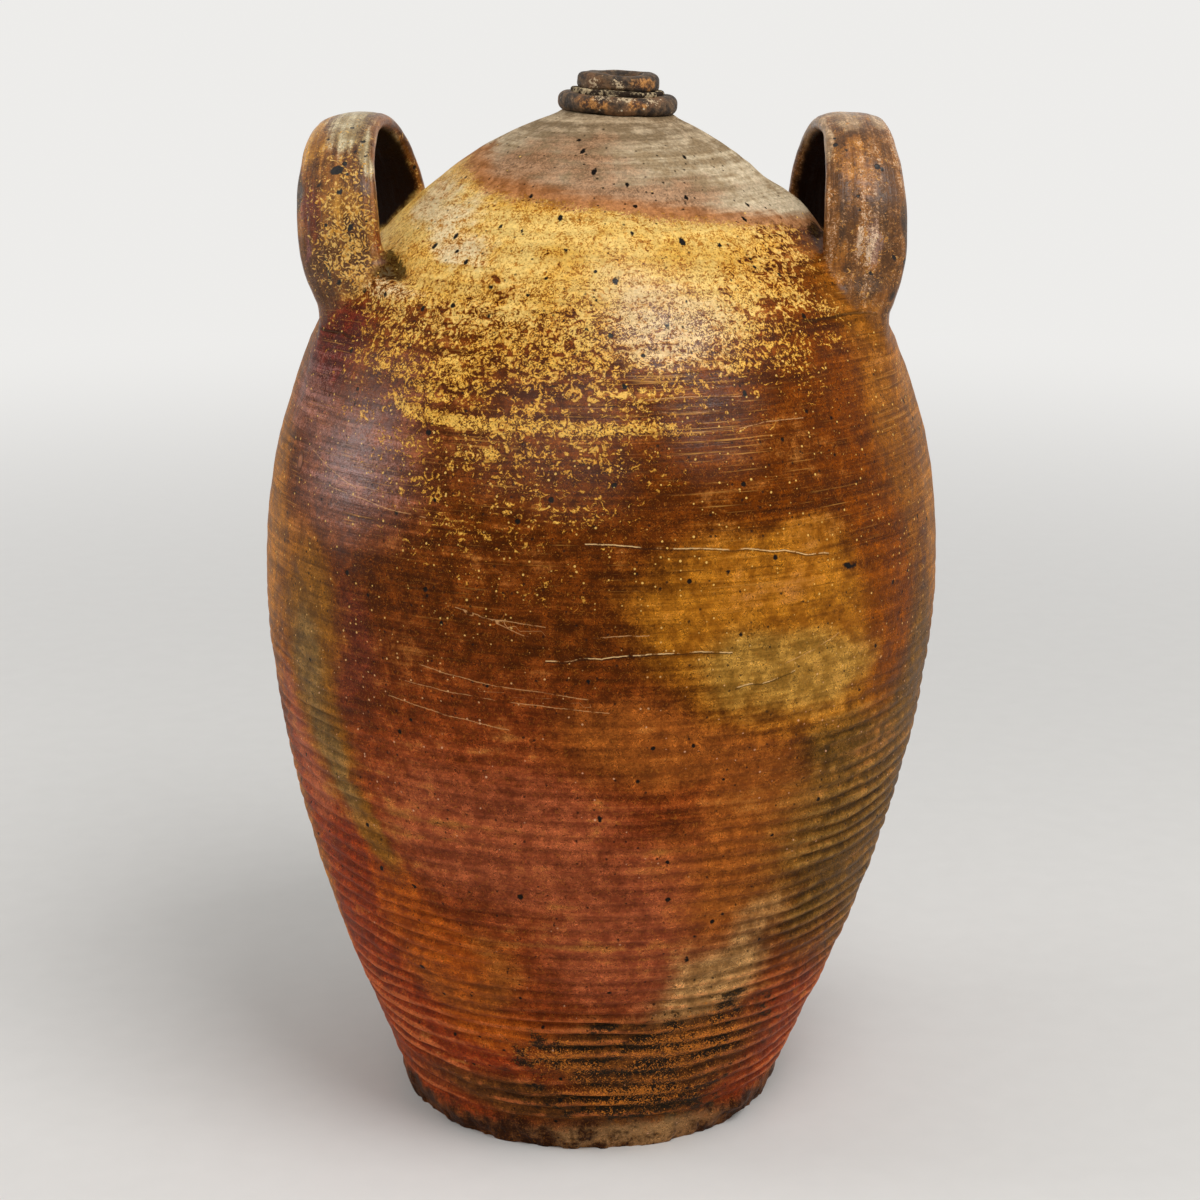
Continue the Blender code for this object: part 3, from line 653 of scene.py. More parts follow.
def make_wall(name, low, high):
    """A closed wall section: its worked outer face, its rims and its plain inner face."""
    angle, height = turned_grid(spaced(low, high), WALL_COLUMNS)
    outer = wall_point(angle, height, wall_relief(angle, height))
    inner_height, inner_radius = inner_rows(low, high)
    inner_angle, rising = turned_grid(inner_height, WALL_COLUMNS)
    inner = around(inner_angle, inner_radius[:, None], rising)
    obj = grid_object(name, settle(np.concatenate([outer, inner])), closed=True)
    both_angle = np.concatenate([angle, inner_angle])
    both_height = np.concatenate([height, rising])
    paint(obj, **wall_weights(both_angle, both_height))
    return obj


def make_foot():
    angle, height = turned_grid(spaced(0.0, FOOT_TOP), WALL_COLUMNS)
    outer = wall_point(angle, height, wall_relief(angle, height))
    outer[..., 2] = np.maximum(outer[..., 2], 0.0)
    obj = grid_object("jug_foot", settle(outer), caps=("first", "last"))
    paint(obj, **wall_weights(angle, height))
    return obj


def ring_patches(patches, angle, height):
    """Weight of soft patches on the rings: 1 in their middles and 0 from their edges out."""
    total = np.zeros(angle.shape)
    for degrees, middle, half_width, half_height in patches:
        across = (angle - math.radians(degrees)) * COLLAR_RADIUS
        far = np.hypot(across / half_width, (height - middle) / half_height)
        total = np.maximum(total, smooth(far, 1.0, 0.0))
    return total


def make_turned(name, profile, seed, strength, lump_size=0.009):
    """A closed clay ring from a (radius, height) profile, uneven as if pressed by hand."""
    profile = np.array(profile)
    angle, index = turned_grid(np.arange(len(profile)), NECK_COLUMNS)
    radius, height = profile[index.astype(int), 0], profile[index.astype(int), 1]
    points = around(angle, radius, height)
    middle = profile.mean(axis=0)
    away = unit(np.stack([radius - middle[0], height - middle[1]], axis=-1))
    lump = strength * fractal(points, lump_size, 2, seed)
    points = around(angle, radius + away[..., 0] * lump, height + away[..., 1] * lump)
    obj = grid_object(name, settle(points), closed=True)
    paint(
        obj,
        rust=ring_patches(RUST, angle, height),
        crust=ring_patches(CRUST, angle, height),
        **wall_weights(angle, np.minimum(height, NECK_BASE_HEIGHT)))
    return obj


def rounded_profile(inner, outer, base, top, rounding, steps=8):
    """Ring section with four rounded corners, going down its outer side."""
    corners = (
        (outer - rounding, top - rounding, 90), (outer - rounding, base + rounding, 0),
        (inner + rounding, base + rounding, -90), (inner + rounding, top - rounding, -180))
    profile = []
    for radius, height, start in corners:
        for step in range(steps + 1):
            turn = math.radians(start - 90 * step / steps)
            profile.append((radius + rounding * math.cos(turn), height + rounding * math.sin(turn)))
    return profile


def make_neck():
    flare = [
        (NECK_FLARE_RADIUS - 0.0008, NECK_FLARE_TOP + 0.0001),
        (NECK_FLARE_RADIUS, NECK_FLARE_TOP - 0.0004),
        (NECK_FLARE_RADIUS + 0.0018, NECK_FLARE_TOP - 0.0016),
        (NECK_BASE_RADIUS, NECK_BASE_HEIGHT - 0.0001),
        (NECK_BASE_RADIUS, NECK_BASE_HEIGHT - 0.0010),
        (MOUTH_RADIUS, NECK_BASE_HEIGHT - 0.0010),
        (MOUTH_RADIUS, LIP_BASE),
        (NECK_RADIUS, LIP_BASE),
        (NECK_RADIUS, NECK_FLARE_TOP + 0.0001),
    ]
    return make_turned("jug_neck", flare, seed=83, strength=0.0)


def make_rings():
    collar = rounded_profile(NECK_RADIUS + 0.0004, COLLAR_RADIUS, COLLAR_BASE, COLLAR_TOP, COLLAR_ROUNDING)
    lip = rounded_profile(MOUTH_RADIUS, LIP_RADIUS, LIP_BASE - 0.0004, LIP_TOP, LIP_ROUNDING)
    return (
        make_turned("jug_collar_ring", collar, seed=89, strength=RING_LUMPS, lump_size=0.016),
        make_turned("jug_lip_ring", lip, seed=97, strength=RING_LUMPS, lump_size=0.013))


def make_residue():
    """Gritty crust in the groove under the lip."""
    base, top = COLLAR_TOP - 0.0010, LIP_BASE + 0.0003
    section = rounded_profile(NECK_RADIUS, NECK_RADIUS + CRUST_DEPTH, base, top, CRUST_ROUNDING, steps=4)
    return make_turned("jug_groove_residue", section, seed=101, strength=CRUST_LUMPS)


def strap_half(handle):
    """Half a strap's centre line, from the top of its arch down a leg into the wall."""
    rise = HANDLE_TOP - handle["seat"] - HANDLE_LEG_HEIGHT - STRAP_TOP_THICKNESS / 2
    half = HANDLE_SPREAD / 2
    turn = np.linspace(0, math.pi / 2, ARCH_STATIONS)
    along = half * np.sin(turn)
    up = HANDLE_LEG_HEIGHT + rise * np.cos(turn)
    out_along = np.sin(turn) / half
    out_up = np.cos(turn) / rise
    length = np.hypot(out_along, out_up)
    leg = np.arange(HANDLE_LEG_HEIGHT - LEG_STEP, -STRAP_SINK, -LEG_STEP)
    along = np.concatenate([along, np.full(len(leg), half)])
    up = np.concatenate([up, leg])
    out_along = np.concatenate([out_along / length, np.ones(len(leg))])
    out_up = np.concatenate([out_up / length, np.zeros(len(leg))])
    return along, up, out_along, out_up, rise


def strap_skin(handle, end):
    """Points of the strap's skin down one leg, as (station, round the section)."""
    along, up, out_along, out_up, rise = strap_half(handle)
    share = np.clip((up - HANDLE_LEG_HEIGHT) / rise, 0, 1) ** 2
    width = STRAP_LEG_WIDTH + (STRAP_TOP_WIDTH - STRAP_LEG_WIDTH) * share
    thickness = STRAP_LEG_THICKNESS + (STRAP_TOP_THICKNESS - STRAP_LEG_THICKNESS) * share
    low = np.clip((HANDLE_LEG_HEIGHT - up) / HANDLE_LEG_HEIGHT, 0, None)
    thickness = thickness + (STRAP_ROOT_THICKNESS - STRAP_LEG_THICKNESS) * np.minimum(low, 1) ** 2
    tuck = handle["side"] * STRAP_TUCK * np.where(low < 1, low ** 2, 2 * low - 1)
    turn = np.linspace(0, 2 * math.pi, STRAP_COLUMNS, endpoint=False)
    power = 2 / STRAP_SQUARENESS
    across = np.sign(np.cos(turn)) * np.abs(np.cos(turn)) ** power * width[:, None] / 2
    out = np.sign(np.sin(turn)) * np.abs(np.sin(turn)) ** power * thickness[:, None] / 2
    return np.stack([
        across - tuck[:, None],
        end * (along[:, None] + out * out_along[:, None]),
        up[:, None] + out * out_up[:, None]], axis=-1)


def strap_place(handle):
    reach = math.sqrt(wall_radius(handle["seat"]) ** 2 - (HANDLE_SPREAD / 2) ** 2) + STRAP_TUCK
    side = handle["side"]
    turn = Euler((0, side * math.radians(handle["lean"]), side * math.radians(handle["turn"])))
    return np.array(turn.to_matrix()), np.array([side * reach, 0.0, handle["seat"]])


def unit(vectors):
    return vectors / np.maximum(np.linalg.norm(vectors, axis=-1, keepdims=True), 1e-9)


def bearing(points):
    """Angle of the points round the jug."""
    return np.arctan2(points[..., 0], -points[..., 1])


def on_wall(points, offset=0.0):
    """Points moved sideways on to the worked wall, and their own angle and height."""
    angle, height = bearing(points), points[..., 2]
    return wall_point(angle, height, wall_relief(angle, height) + offset), angle, height


def lengths_along(line):
    """How far along the line each of its points is."""
    return np.concatenate([[0], np.cumsum(np.linalg.norm(np.diff(line, axis=0), axis=1))])


def resample(line, lengths, wanted):
    return np.stack([np.interp(wanted, lengths, line[:, axis]) for axis in range(3)], axis=-1)


def strap_leg(handle, end):
    """One half of a handle: its strap down to the wall and the flare that grips it."""
    skin = strap_skin(handle, end)
    turn, move = strap_place(handle)
    skin = skin @ turn.T + move
    clear = np.hypot(skin[..., 0], skin[..., 1]) - wall_radius(skin[..., 2])
    columns = []
    for column in range(STRAP_COLUMNS):
        line = skin[:, column]
        gaps = clear[:, column]
        lengths = lengths_along(line)
        index = int(np.argmax(gaps < 0))
        share = gaps[index - 1] / (gaps[index - 1] - gaps[index])
        meeting = lengths[index - 1] + share * (lengths[index] - lengths[index - 1])
        columns.append((line, lengths, meeting))
    corners = np.array([resample(line, lengths, [meeting])[0] for line, lengths, meeting in columns])
    corner_wall, angle, height = on_wall(corners)
    normal = wall_normal(angle, height)
    away = corners - corners.mean(axis=0)
    away = unit(away - normal * np.sum(away * normal, axis=1, keepdims=True))
    downhill = unit(np.array([0, 0, -1.0]) + normal * normal[:, 2:3])
    low_side = np.clip(np.sum(away * downhill, axis=1), 0, 1)
    wander = fractal(corners, 0.014, 2, 103)
    climb, reach = (
        base + more * low_side + loose * wander for base, more, loose in (FLARE_CLIMB, FLARE_REACH))
    rows = np.zeros((STRAP_ROWS + FLARE_ROWS + 1, STRAP_COLUMNS, 3))
    start = np.zeros((STRAP_COLUMNS, 3))
    for index, (line, lengths, meeting) in enumerate(columns):
        stop = meeting - climb[index]
        rows[:STRAP_ROWS, index] = resample(line, lengths, np.linspace(0, stop, STRAP_ROWS))
        start[index] = rows[STRAP_ROWS - 1, index]
    foot, _, _ = on_wall(corners + away * reach[:, None], -FLARE_SINK)
    for row in range(FLARE_ROWS):
        t = (row + 1) / FLARE_ROWS
        rows[STRAP_ROWS + row] = (1 - t) ** 2 * start + 2 * t * (1 - t) * corner_wall + t * t * foot
    rows[-1] = wall_point(bearing(foot), foot[..., 2], -FLARE_BURIAL)
    return rows


def strap_lumps(rows, seed):
    """Uneven clay on the strap, with pull marks along it, fading out at the wall."""
    count = len(rows)
    rise = np.roll(rows, -1, axis=1) - np.roll(rows, 1, axis=1)
    run = np.gradient(rows, axis=0)
    normal = unit(np.cross(run, rise))
    turn = np.linspace(0, 2 * math.pi, STRAP_COLUMNS, endpoint=False)
    ring = np.stack(np.broadcast_arrays(
        np.cos(turn)[None] * 3.2, np.sin(turn)[None] * 3.2, np.arange(count)[:, None] * 0.02), axis=-1)
    amount = 0.00035 * fractal(rows, 0.016, 3, seed) + 0.00022 * fractal(ring, 1.0, 2, seed + 7)
    ends = np.arange(count)
    fade = smooth(ends, 2, FLARE_ROWS + 4) * smooth(ends, count - 3, count - FLARE_ROWS - 5)
    return rows + normal * (amount * fade[:, None])[..., None]


# Looks of the straps. Zones have a light and a dark colour, and soft patches given as place
# across the strap (-1 towards the jug, 1 away), climb (0 at the wall, 1 at the top) and half
# sizes of both. Pits are place across, millimetres down the front from the top, and radius.
STRAP_ZONES = {
    "left": {
        "rust": ((146, 70, 26), (104, 42, 14), (
            (0.58, 0.60, 0.36, 0.24), (0.10, 0.04, 1.2, 0.22), (-1.0, 0.40, 0.24, 0.20))),
        "bark": ((134, 84, 32), (88, 50, 16), ((0.60, 0.32, 0.60, 0.22), (-0.20, 0.44, 0.90, 0.40))),
        "honey": ((198, 142, 56), (150, 94, 28), (
            (0.62, 0.88, 0.50, 0.18), (-0.20, 0.66, 0.60, 0.16), (-0.60, 0.24, 0.50, 0.20))),
        "stone": ((202, 188, 152), (156, 130, 86), ((-0.20, 0.97, 0.95, 0.17), (-0.72, 0.86, 0.34, 0.14))),
        "soot": ((60, 46, 32), (36, 27, 20), (
            (0.98, 0.67, 0.36, 0.14), (0.34, 0.34, 0.10, 0.20), (0.15, 0.17, 0.14, 0.06))),
        # Painted purple sheen
        "violet_sheen": ((158, 104, 104), (112, 64, 58), ((0.78, 0.42, 0.14, 0.15),)),
        "flake": ((238, 194, 108), (206, 142, 44), ((-0.20, 0.50, 1.30, 0.56), (-0.45, 0.22, 1.00, 0.26))),
    },
    "right": {
        "honey": ((176, 114, 42), (138, 82, 24), (
            (-0.30, 0.80, 0.80, 0.20), (0.40, 0.16, 0.60, 0.16), (-0.60, 0.36, 0.30, 0.20))),
        "bark": ((116, 76, 38), (76, 48, 22), (
            (0.30, 0.56, 0.44, 0.30), (-0.62, 0.56, 0.20, 0.24), (0.10, 0.26, 0.50, 0.12))),
        # Tan top of the arch, partly a painted sheen
        "stone": ((182, 150, 112), (146, 112, 76), (
            (-0.30, 0.99, 0.80, 0.12), (-1.0, 0.90, 0.34, 0.18), (0.60, 0.97, 0.40, 0.06))),
        # Painted purple-grey sheen in the middle of the strap
        "violet_sheen": ((152, 116, 98), (116, 80, 60), ((0.14, 0.47, 0.26, 0.18),)),
        # Painted highlight streaks on the front of the strap
        "glint": ((214, 184, 152), (150, 100, 58), (
            (-0.17, 0.46, 0.14, 0.13), (0.04, 0.44, 0.09, 0.12), (0.18, 0.52, 0.07, 0.09),
            (-0.30, 0.18, 0.30, 0.04))),
        "soot": ((74, 54, 36), (46, 33, 22), ((1.0, 0.50, 0.28, 0.26), (0.72, 0.20, 0.14, 0.05))),
        "flake": ((216, 160, 84), (170, 106, 42), ((-0.10, 0.52, 1.0, 0.60),)),
    },
}
STRAP_LOOKS = {
    "left": {
        "dark": (92, 52, 18), "light": (150, 92, 34), "curl": (220, 164, 78), "heavy": 0.15, "streaky": 0.7},
    "right": {
        "dark": (94, 56, 18), "light": (150, 94, 34), "curl": (196, 138, 72), "heavy": 0.04, "streaky": 0.5},
}
STRAP_PITS = {
    "left": (
        (-0.09, 43, 1.9), (-0.70, 31, 0.9), (-0.50, 36, 0.7), (-0.15, 52, 1.0), (-0.35, 66, 1.1),
        (-0.80, 40, 0.6), (0.30, 47, 0.7), (0.10, 84, 0.9), (-0.30, 20, 0.8), (0.40, -30, 1.2),
        (-0.20, -60, 1.0)),
    "right": (
        (0.35, 40, 0.8), (-0.20, 58, 0.7), (0.60, 70, 0.9), (-0.45, 34, 0.6), (0.10, 80, 0.7),
        (0.20, -45, 1.1)),
}


def strap_weights(side_name, across, climb):
    """Weight of each strap zone, with outlines that wander."""
    weights = {}
    for zone, (_, _, patches) in STRAP_ZONES[side_name].items():
        total = np.zeros(across.shape)
        for middle, rise, half_across, half_rise in patches:
            far = np.hypot((across - middle) / half_across, (climb - rise) / half_rise)
            total = np.maximum(total, smooth(far, 1.0, 0.0))
        weights["strap_" + zone] = total
    return weights


def make_handle(side_name):
    """A strap handle whose feet flare on to the shoulder."""
    handle = HANDLES[side_name]
    front = strap_leg(handle, -1)
    rear = strap_leg(handle, 1)
    rows = np.concatenate([rear[::-1], front[1:]])
    rows = strap_lumps(rows, 107 if side_name == "left" else 131)
    obj = grid_object(side_name + "_jug_handle", settle(rows, with_neck=False), caps=("first", "last"))
    count = len(rows)
    turn = np.linspace(0, 2 * math.pi, STRAP_COLUMNS, endpoint=False)
    station = np.arange(count)[:, None] + 0 * turn[None]
    rows_down = np.minimum(station, count - 1 - station)
    across = np.broadcast_to(np.cos(turn)[None] * handle["side"], station.shape)
    climb = (rows[..., 2] - CLIMB_BASE) / (HANDLE_TOP - CLIMB_BASE)
    wander = 0.16 * fractal(rows, 0.016, 3, 163)
    along = lengths_along(rows.mean(axis=1))
    along = along - along[count // 2]
    pit = np.full(station.shape, PIT_FAR)
    for place_across, down, radius in STRAP_PITS[side_name]:
        gap = np.hypot((across - place_across) * STRAP_TOP_WIDTH * 500, along[:, None] * 1000 - down)
        pit = np.minimum(pit, gap - radius)
    paint(
        obj,
        strap_across=across * STRAP_TOP_WIDTH / 2,
        strap_along=along[:, None] + 0 * across,
        strap_pit=np.where(np.sin(turn)[None] > 0, pit, PIT_FAR),
        outward=np.broadcast_to(np.sin(turn)[None], station.shape),
        skirt=smooth(rows_down, FLARE_ROWS + 9, 2),
        **strap_weights(side_name, across + wander, climb + 0.2 * wander),
        **wall_weights(bearing(rows), rows[..., 2]))
    return obj


class Wire:
    """A value in a node tree. Sums of wires read as sums and become maths nodes."""

    def __init__(self, tree, socket):
        self.tree = tree
        self.socket = socket

    def __add__(self, other):
        return self.tree.maths("ADD", self, other)

    def __sub__(self, other):
        return self.tree.maths("SUBTRACT", self, other)

    def __rsub__(self, other):
        return self.tree.maths("SUBTRACT", other, self)

    def __mul__(self, other):
        return self.tree.maths("MULTIPLY", self, other)

    __radd__ = __add__
    __rmul__ = __mul__


class Tree:
    """Builds one material from short calls, each of which returns a wire."""

    def __init__(self, name):
        self.material = bpy.data.materials.new(name)
        self.material.use_nodes = True
        self.nodes = self.material.node_tree.nodes
        self.links = self.material.node_tree.links
        self.shader = self.nodes["Principled BSDF"]

    def feed(self, socket, value):
        if isinstance(value, Wire):
            self.links.new(value.socket, socket)
        else:
            socket.default_value = value

    def maths(self, operation, first, second=0.0):
        node = self.nodes.new("ShaderNodeMath")
        node.operation = operation
        self.feed(node.inputs[0], first)
        self.feed(node.inputs[1], second)
        return Wire(self, node.outputs[0])

    def place(self, scale=(1, 1, 1)):
        """Where the surface is in the jug's own frame, stretched by the scale."""
        source = self.nodes.new("ShaderNodeTexCoord")
        return self.stretched(Wire(self, source.outputs["Object"]), scale)

    def weight(self, name):
        node = self.nodes.new("ShaderNodeAttribute")
        node.attribute_name = name
        return Wire(self, node.outputs["Fac"])

    def joined(self, *values):
        """One vector from three values."""
        node = self.nodes.new("ShaderNodeCombineXYZ")
        for socket, value in zip(node.inputs, values):
            self.feed(socket, value)
        return Wire(self, node.outputs[0])

    def stretched(self, vector, scale):
        node = self.nodes.new("ShaderNodeVectorMath")
        node.operation = "MULTIPLY"
        self.feed(node.inputs[0], vector)
        node.inputs[1].default_value = scale
        return Wire(self, node.outputs[0])

    def noise(self, place, per_metre, detail=3.0, roughness=0.5, twist=0.0):
        """Noise about 0.5, with this many lumps to the metre."""
        node = self.nodes.new("ShaderNodeTexNoise")
        self.feed(node.inputs["Vector"], place)
        node.inputs["Scale"].default_value = per_metre
        node.inputs["Detail"].default_value = detail
        node.inputs["Roughness"].default_value = roughness
        node.inputs["Distortion"].default_value = twist
        return Wire(self, node.outputs["Fac"])

    def cells(self, place, per_metre):
        """Distance to the nearest of scattered points, in cells, and its two random values."""
        node = self.nodes.new("ShaderNodeTexVoronoi")
        self.feed(node.inputs["Vector"], place)
        node.inputs["Scale"].default_value = per_metre
        split = self.nodes.new("ShaderNodeSeparateColor")
        self.links.new(node.outputs["Color"], split.inputs[0])
        return [Wire(self, socket) for socket in (node.outputs["Distance"], *split.outputs[:2])]

    def step(self, value, low, high):
        """0 at low and 1 at high, eased; low may be the larger."""
        node = self.nodes.new("ShaderNodeMapRange")
        node.interpolation_type = "SMOOTHSTEP"
        flipped = low > high
        self.feed(node.inputs["Value"], value)
        node.inputs["From Min"].default_value = high if flipped else low
        node.inputs["From Max"].default_value = low if flipped else high
        node.inputs["To Min"].default_value = 1.0 if flipped else 0.0
        node.inputs["To Max"].default_value = 0.0 if flipped else 1.0
        return Wire(self, node.outputs["Result"])

    def mix(self, share, first, second):
        node = self.nodes.new("ShaderNodeMix")
        node.data_type = "RGBA"
        self.feed(node.inputs[0], share)
        self.feed(node.inputs[6], first)
        self.feed(node.inputs[7], second)
        return Wire(self, node.outputs[2])

    def tones(self, value, low, high, first, second):
        """From the first colour at low to the second at high, both by their screen values."""
        return self.mix(self.step(value, low, high), srgb(*first), srgb(*second))

    def shade(self, colour, factor):
        """The colour, made darker or lighter by a factor."""
        node = self.nodes.new("ShaderNodeVectorMath")
        node.operation = "SCALE"
        self.feed(node.inputs[0], colour)
        self.feed(node.inputs["Scale"], factor)
        return Wire(self, node.outputs[0])

    def finish(self, colour, roughness, relief, specular):
        """Close the tree: the colour, the roughness, and the relief in metres as bump."""
        bump = self.nodes.new("ShaderNodeBump")
        bump.inputs["Distance"].default_value = 1.0
        self.feed(bump.inputs["Height"], relief)
        self.feed(self.shader.inputs["Base Color"], colour)
        self.feed(self.shader.inputs["Roughness"], roughness)
        self.links.new(bump.outputs[0], self.shader.inputs["Normal"])
        self.feed(self.shader.inputs["Specular IOR Level"], specular)
        return self.material


class Grain(SimpleNamespace):
    """The noises that all the glazes share."""

    def stir(self, **amounts):
        """Sum of the named noises, each taken about 0 and times its amount."""
        total = None
        for name, amount in amounts.items():
            part = (getattr(self, name) - 0.5) * amount
            total = part if total is None else total + part
        return total


def grains(tree):
    place = tree.place()
    return Grain(
        place=place,
        coarse=tree.noise(place, 30, 4, 0.6),
        medium=tree.noise(place, 140, 5, 0.65),
        fine=tree.noise(place, 750, 4, 0.65),
        curl=tree.noise(place, 640, 2, 0.5, 2.2),
        sweep=tree.noise(tree.place((7, 7, 95)), 1.0, 3, 0.55),
        streak=tree.noise(tree.place((15, 15, 430)), 1.0, 4, 0.6),
        scoring=tree.noise(tree.place((26, 26, 1500)), 1.0, 3, 0.6),
        worm=tree.noise(place, 430, 2, 0.5, 1.4))


def worms(tree, grain):
    """Short curls in the glaze: 1 on their lit edge, -1 on their dark one, 0 between."""
    lit = tree.step(grain.worm, 0.497, 0.518) * tree.step(grain.worm, 0.556, 0.535)
    dark = tree.step(grain.worm, 0.503, 0.482) * tree.step(grain.worm, 0.444, 0.465)
    return (lit - dark) * tree.step(grain.medium, 0.43, 0.52)


def glaze_colour(tree, grain):
    """The fired glaze under the ash: each zone laid over the last with soft streaky edges, and a painted
    lilac sheen on the plum zone.
    """
    ragged = grain.stir(coarse=0.50, sweep=0.30, streak=0.30, medium=0.35, fine=0.15)
    shade = tree.step(grain.streak * 0.22 + grain.medium * 0.58 + grain.sweep * 0.20, 0.40, 0.60)
    colour = tree.mix(shade, srgb(80, 34, 2), srgb(112, 52, 6))
    for zone, (light, dark, _) in ZONES.items():
        share = tree.step(tree.weight(zone) + ragged, 0.04, 0.72) * 0.95
        colour = tree.mix(share, colour, tree.mix(shade, srgb(*dark), srgb(*light)))
    # Painted lilac sheen over the plum zone
    lilac_sheen = tree.weight("plum") + grain.stir(curl=2.2, streak=1.4)
    return tree.mix(tree.step(lilac_sheen, 0.62, 1.10) * 0.32, colour, srgb(176, 138, 136))


def ribbed(tree, grain, colour, rise):
    """Lighter crests and darker hollows, partly worn glaze and partly painted highlight and shade, and the
    reduction black that gathers in the hollows.
    """
    rib = tree.weight("rib")
    # Crests lighter and hollows darker: partly worn glaze, partly painted highlight and shade
    worn_and_lit = rib * 1.2 + grain.stir(medium=1.2)
    colour = tree.shade(colour, tree.step(worn_and_lit, -0.8, 0.8) * 0.36 + 0.81)
    black = tree.weight("char")
    # Paler crests low down, partly worn and partly a painted highlight
    worn_lit_crest = tree.step(rib + grain.stir(medium=1.8), 0.45, 1.0) * tree.step(rise, 0.14, 0.04)
    colour = tree.mix(worn_lit_crest * (1.0 - black * 0.7) * 0.60, colour, srgb(204, 110, 60))
    olive = tree.step(tree.weight("olive"), 0.15, 0.70)
    # Painted highlight on the crests and painted shade in the hollows, where the olive zone is
    crest_highlight = tree.step(rib + grain.stir(medium=2.4), 0.30, 1.00) * olive
    colour = tree.mix(crest_highlight * 0.34, colour, srgb(172, 130, 66))
    olive_hollow = tree.step(rib + grain.stir(medium=1.6), 0.10, -0.90) * olive
    colour = tree.shade(colour, 1.0 - olive_hollow * 0.34)
    patchy = tree.noise(tree.place((75, 75, 150)), 1.0, 4, 0.62)
    char = black * 0.8 + (patchy - 0.5) * 4.2 - rib * 0.20 + grain.stir(coarse=1.8, fine=1.5, curl=1.4)
    char = tree.step(char, 0.44, 0.60) * tree.step(black, 0.02, 0.16)
    colour = tree.mix(char * 0.94, colour, srgb(30, 25, 16))
    ember = black + grain.stir(curl=3.4) + rib * 0.25
    return tree.mix(tree.step(ember, 0.92, 1.24) * 0.80, colour, srgb(206, 120, 42))


def ashed(tree, grain, colour, rise, gloss_and_highlight):
    """The ash glaze: whole up on the shoulder, breaking into crisp flecks further down, with a painted
    highlight where it shines.
    """
    ash = tree.weight("ash")
    flake = tree.noise(tree.place((1, 1, 1.2)), 230, 4, 0.50, 1.8)
    cluster = tree.noise(tree.place((42, 42, 120)), 1.0, 3, 0.6)
    cover = flake * 0.54 + cluster * 0.22 + grain.curl * 0.14 + grain.streak * 0.10
    depth = cover + (ash - 0.5) * 0.24
    whole = tree.step(depth, 0.504, 0.516) * tree.step(ash, 0.02, 0.10)
    # Painted highlight: the ash made paler on the gloss patches high on the shoulder
    pale_highlight = tree.step(gloss_and_highlight + grain.stir(medium=0.9, streak=0.6), 0.30, 1.00)
    pale_highlight = pale_highlight * tree.step(rise + grain.stir(medium=0.02), 0.352, 0.366)
    tone = tree.step(grain.coarse * 0.4 + grain.sweep * 0.3 + grain.medium * 0.3, 0.42, 0.58)
    light = tree.mix(tone, srgb(224, 173, 76), srgb(238, 200, 116))
    low = tree.step(rise, 0.392, 0.352)
    light = tree.mix(low * 0.75, light, srgb(246, 190, 80))
    cream = tree.step(tree.weight("cream") + grain.stir(medium=1.4, streak=0.8), 0.25, 0.95)
    light = tree.mix(cream * 0.78, light, srgb(230, 209, 168))
    light = tree.mix(pale_highlight * 0.60, light, srgb(222, 192, 150))
    light = tree.mix(tree.step(depth, 0.600, 0.514) * 0.8, light, srgb(196, 126, 34))
    broken = grain.curl * 0.5 + grain.medium * 0.3 + grain.fine * 0.2 - tree.step(rise, 0.402, 0.374) * 0.016
    vein = tree.step(broken, 0.446, 0.484)
    vein_colour = tree.mix(tone, srgb(158, 96, 22), srgb(186, 128, 50))
    vein_colour = tree.mix(tree.step(rise, 0.402, 0.374) * 0.9, vein_colour, srgb(104, 56, 14))
    ash_colour = tree.mix(vein, vein_colour, light)
    ash_colour = tree.shade(ash_colour, grain.stir(fine=1.1, streak=0.7) + 0.97)
    return tree.mix(whole, colour, ash_colour), whole


def bared(tree, grain, colour, rise):
    """Bare clay of the dome above the ash, with an orange-brown border between them."""
    bare = tree.weight("bare") + grain.stir(medium=0.6, streak=0.4)
    is_bare = tree.step(bare + grain.stir(curl=1.6), 0.36, 0.60)
    border = tree.step(bare, 1.30, 0.75)
    tone = grain.streak * 0.25 + grain.sweep * 0.20 + grain.medium * 0.35 + grain.coarse * 0.20
    dust = tree.tones(tone, 0.42, 0.58, (150, 127, 96), (214, 195, 163))
    flush = tree.step(tree.weight("blush") + grain.stir(sweep=1.6, medium=1.6), 0.05, 0.85)
    mottled = grain.medium * 0.5 + grain.curl * 0.5
    flush_colour = tree.tones(mottled, 0.42, 0.56, (104, 66, 40), (170, 122, 86))
    dust = tree.mix(flush * 0.80, dust, flush_colour)
    border_colour = tree.tones(grain.medium, 0.42, 0.58, (144, 88, 46), (184, 120, 70))
    dust = tree.mix(border * 0.85, dust, border_colour)
    scuff = tree.step(rise + grain.stir(medium=0.012), 0.4360, 0.4500)
    scuffed = grain.medium * 0.6 + grain.streak * 0.4
    scuff_colour = tree.tones(scuffed, 0.42, 0.58, (70, 50, 34), (160, 130, 98))
    dust = tree.mix(scuff * 0.42, dust, scuff_colour)
    dust = tree.shade(dust, grain.stir(fine=1.5, streak=0.5) + 1.0)
    return tree.mix(is_bare, colour, dust), is_bare


def pitted(tree, grain, colour, name):
    """Black pits; the named weight is the distance from their edges."""
    edge = tree.weight(name) + grain.stir(fine=1.4)
    return tree.mix(tree.step(edge, 0.35, -0.10), colour, srgb(24, 20, 18))


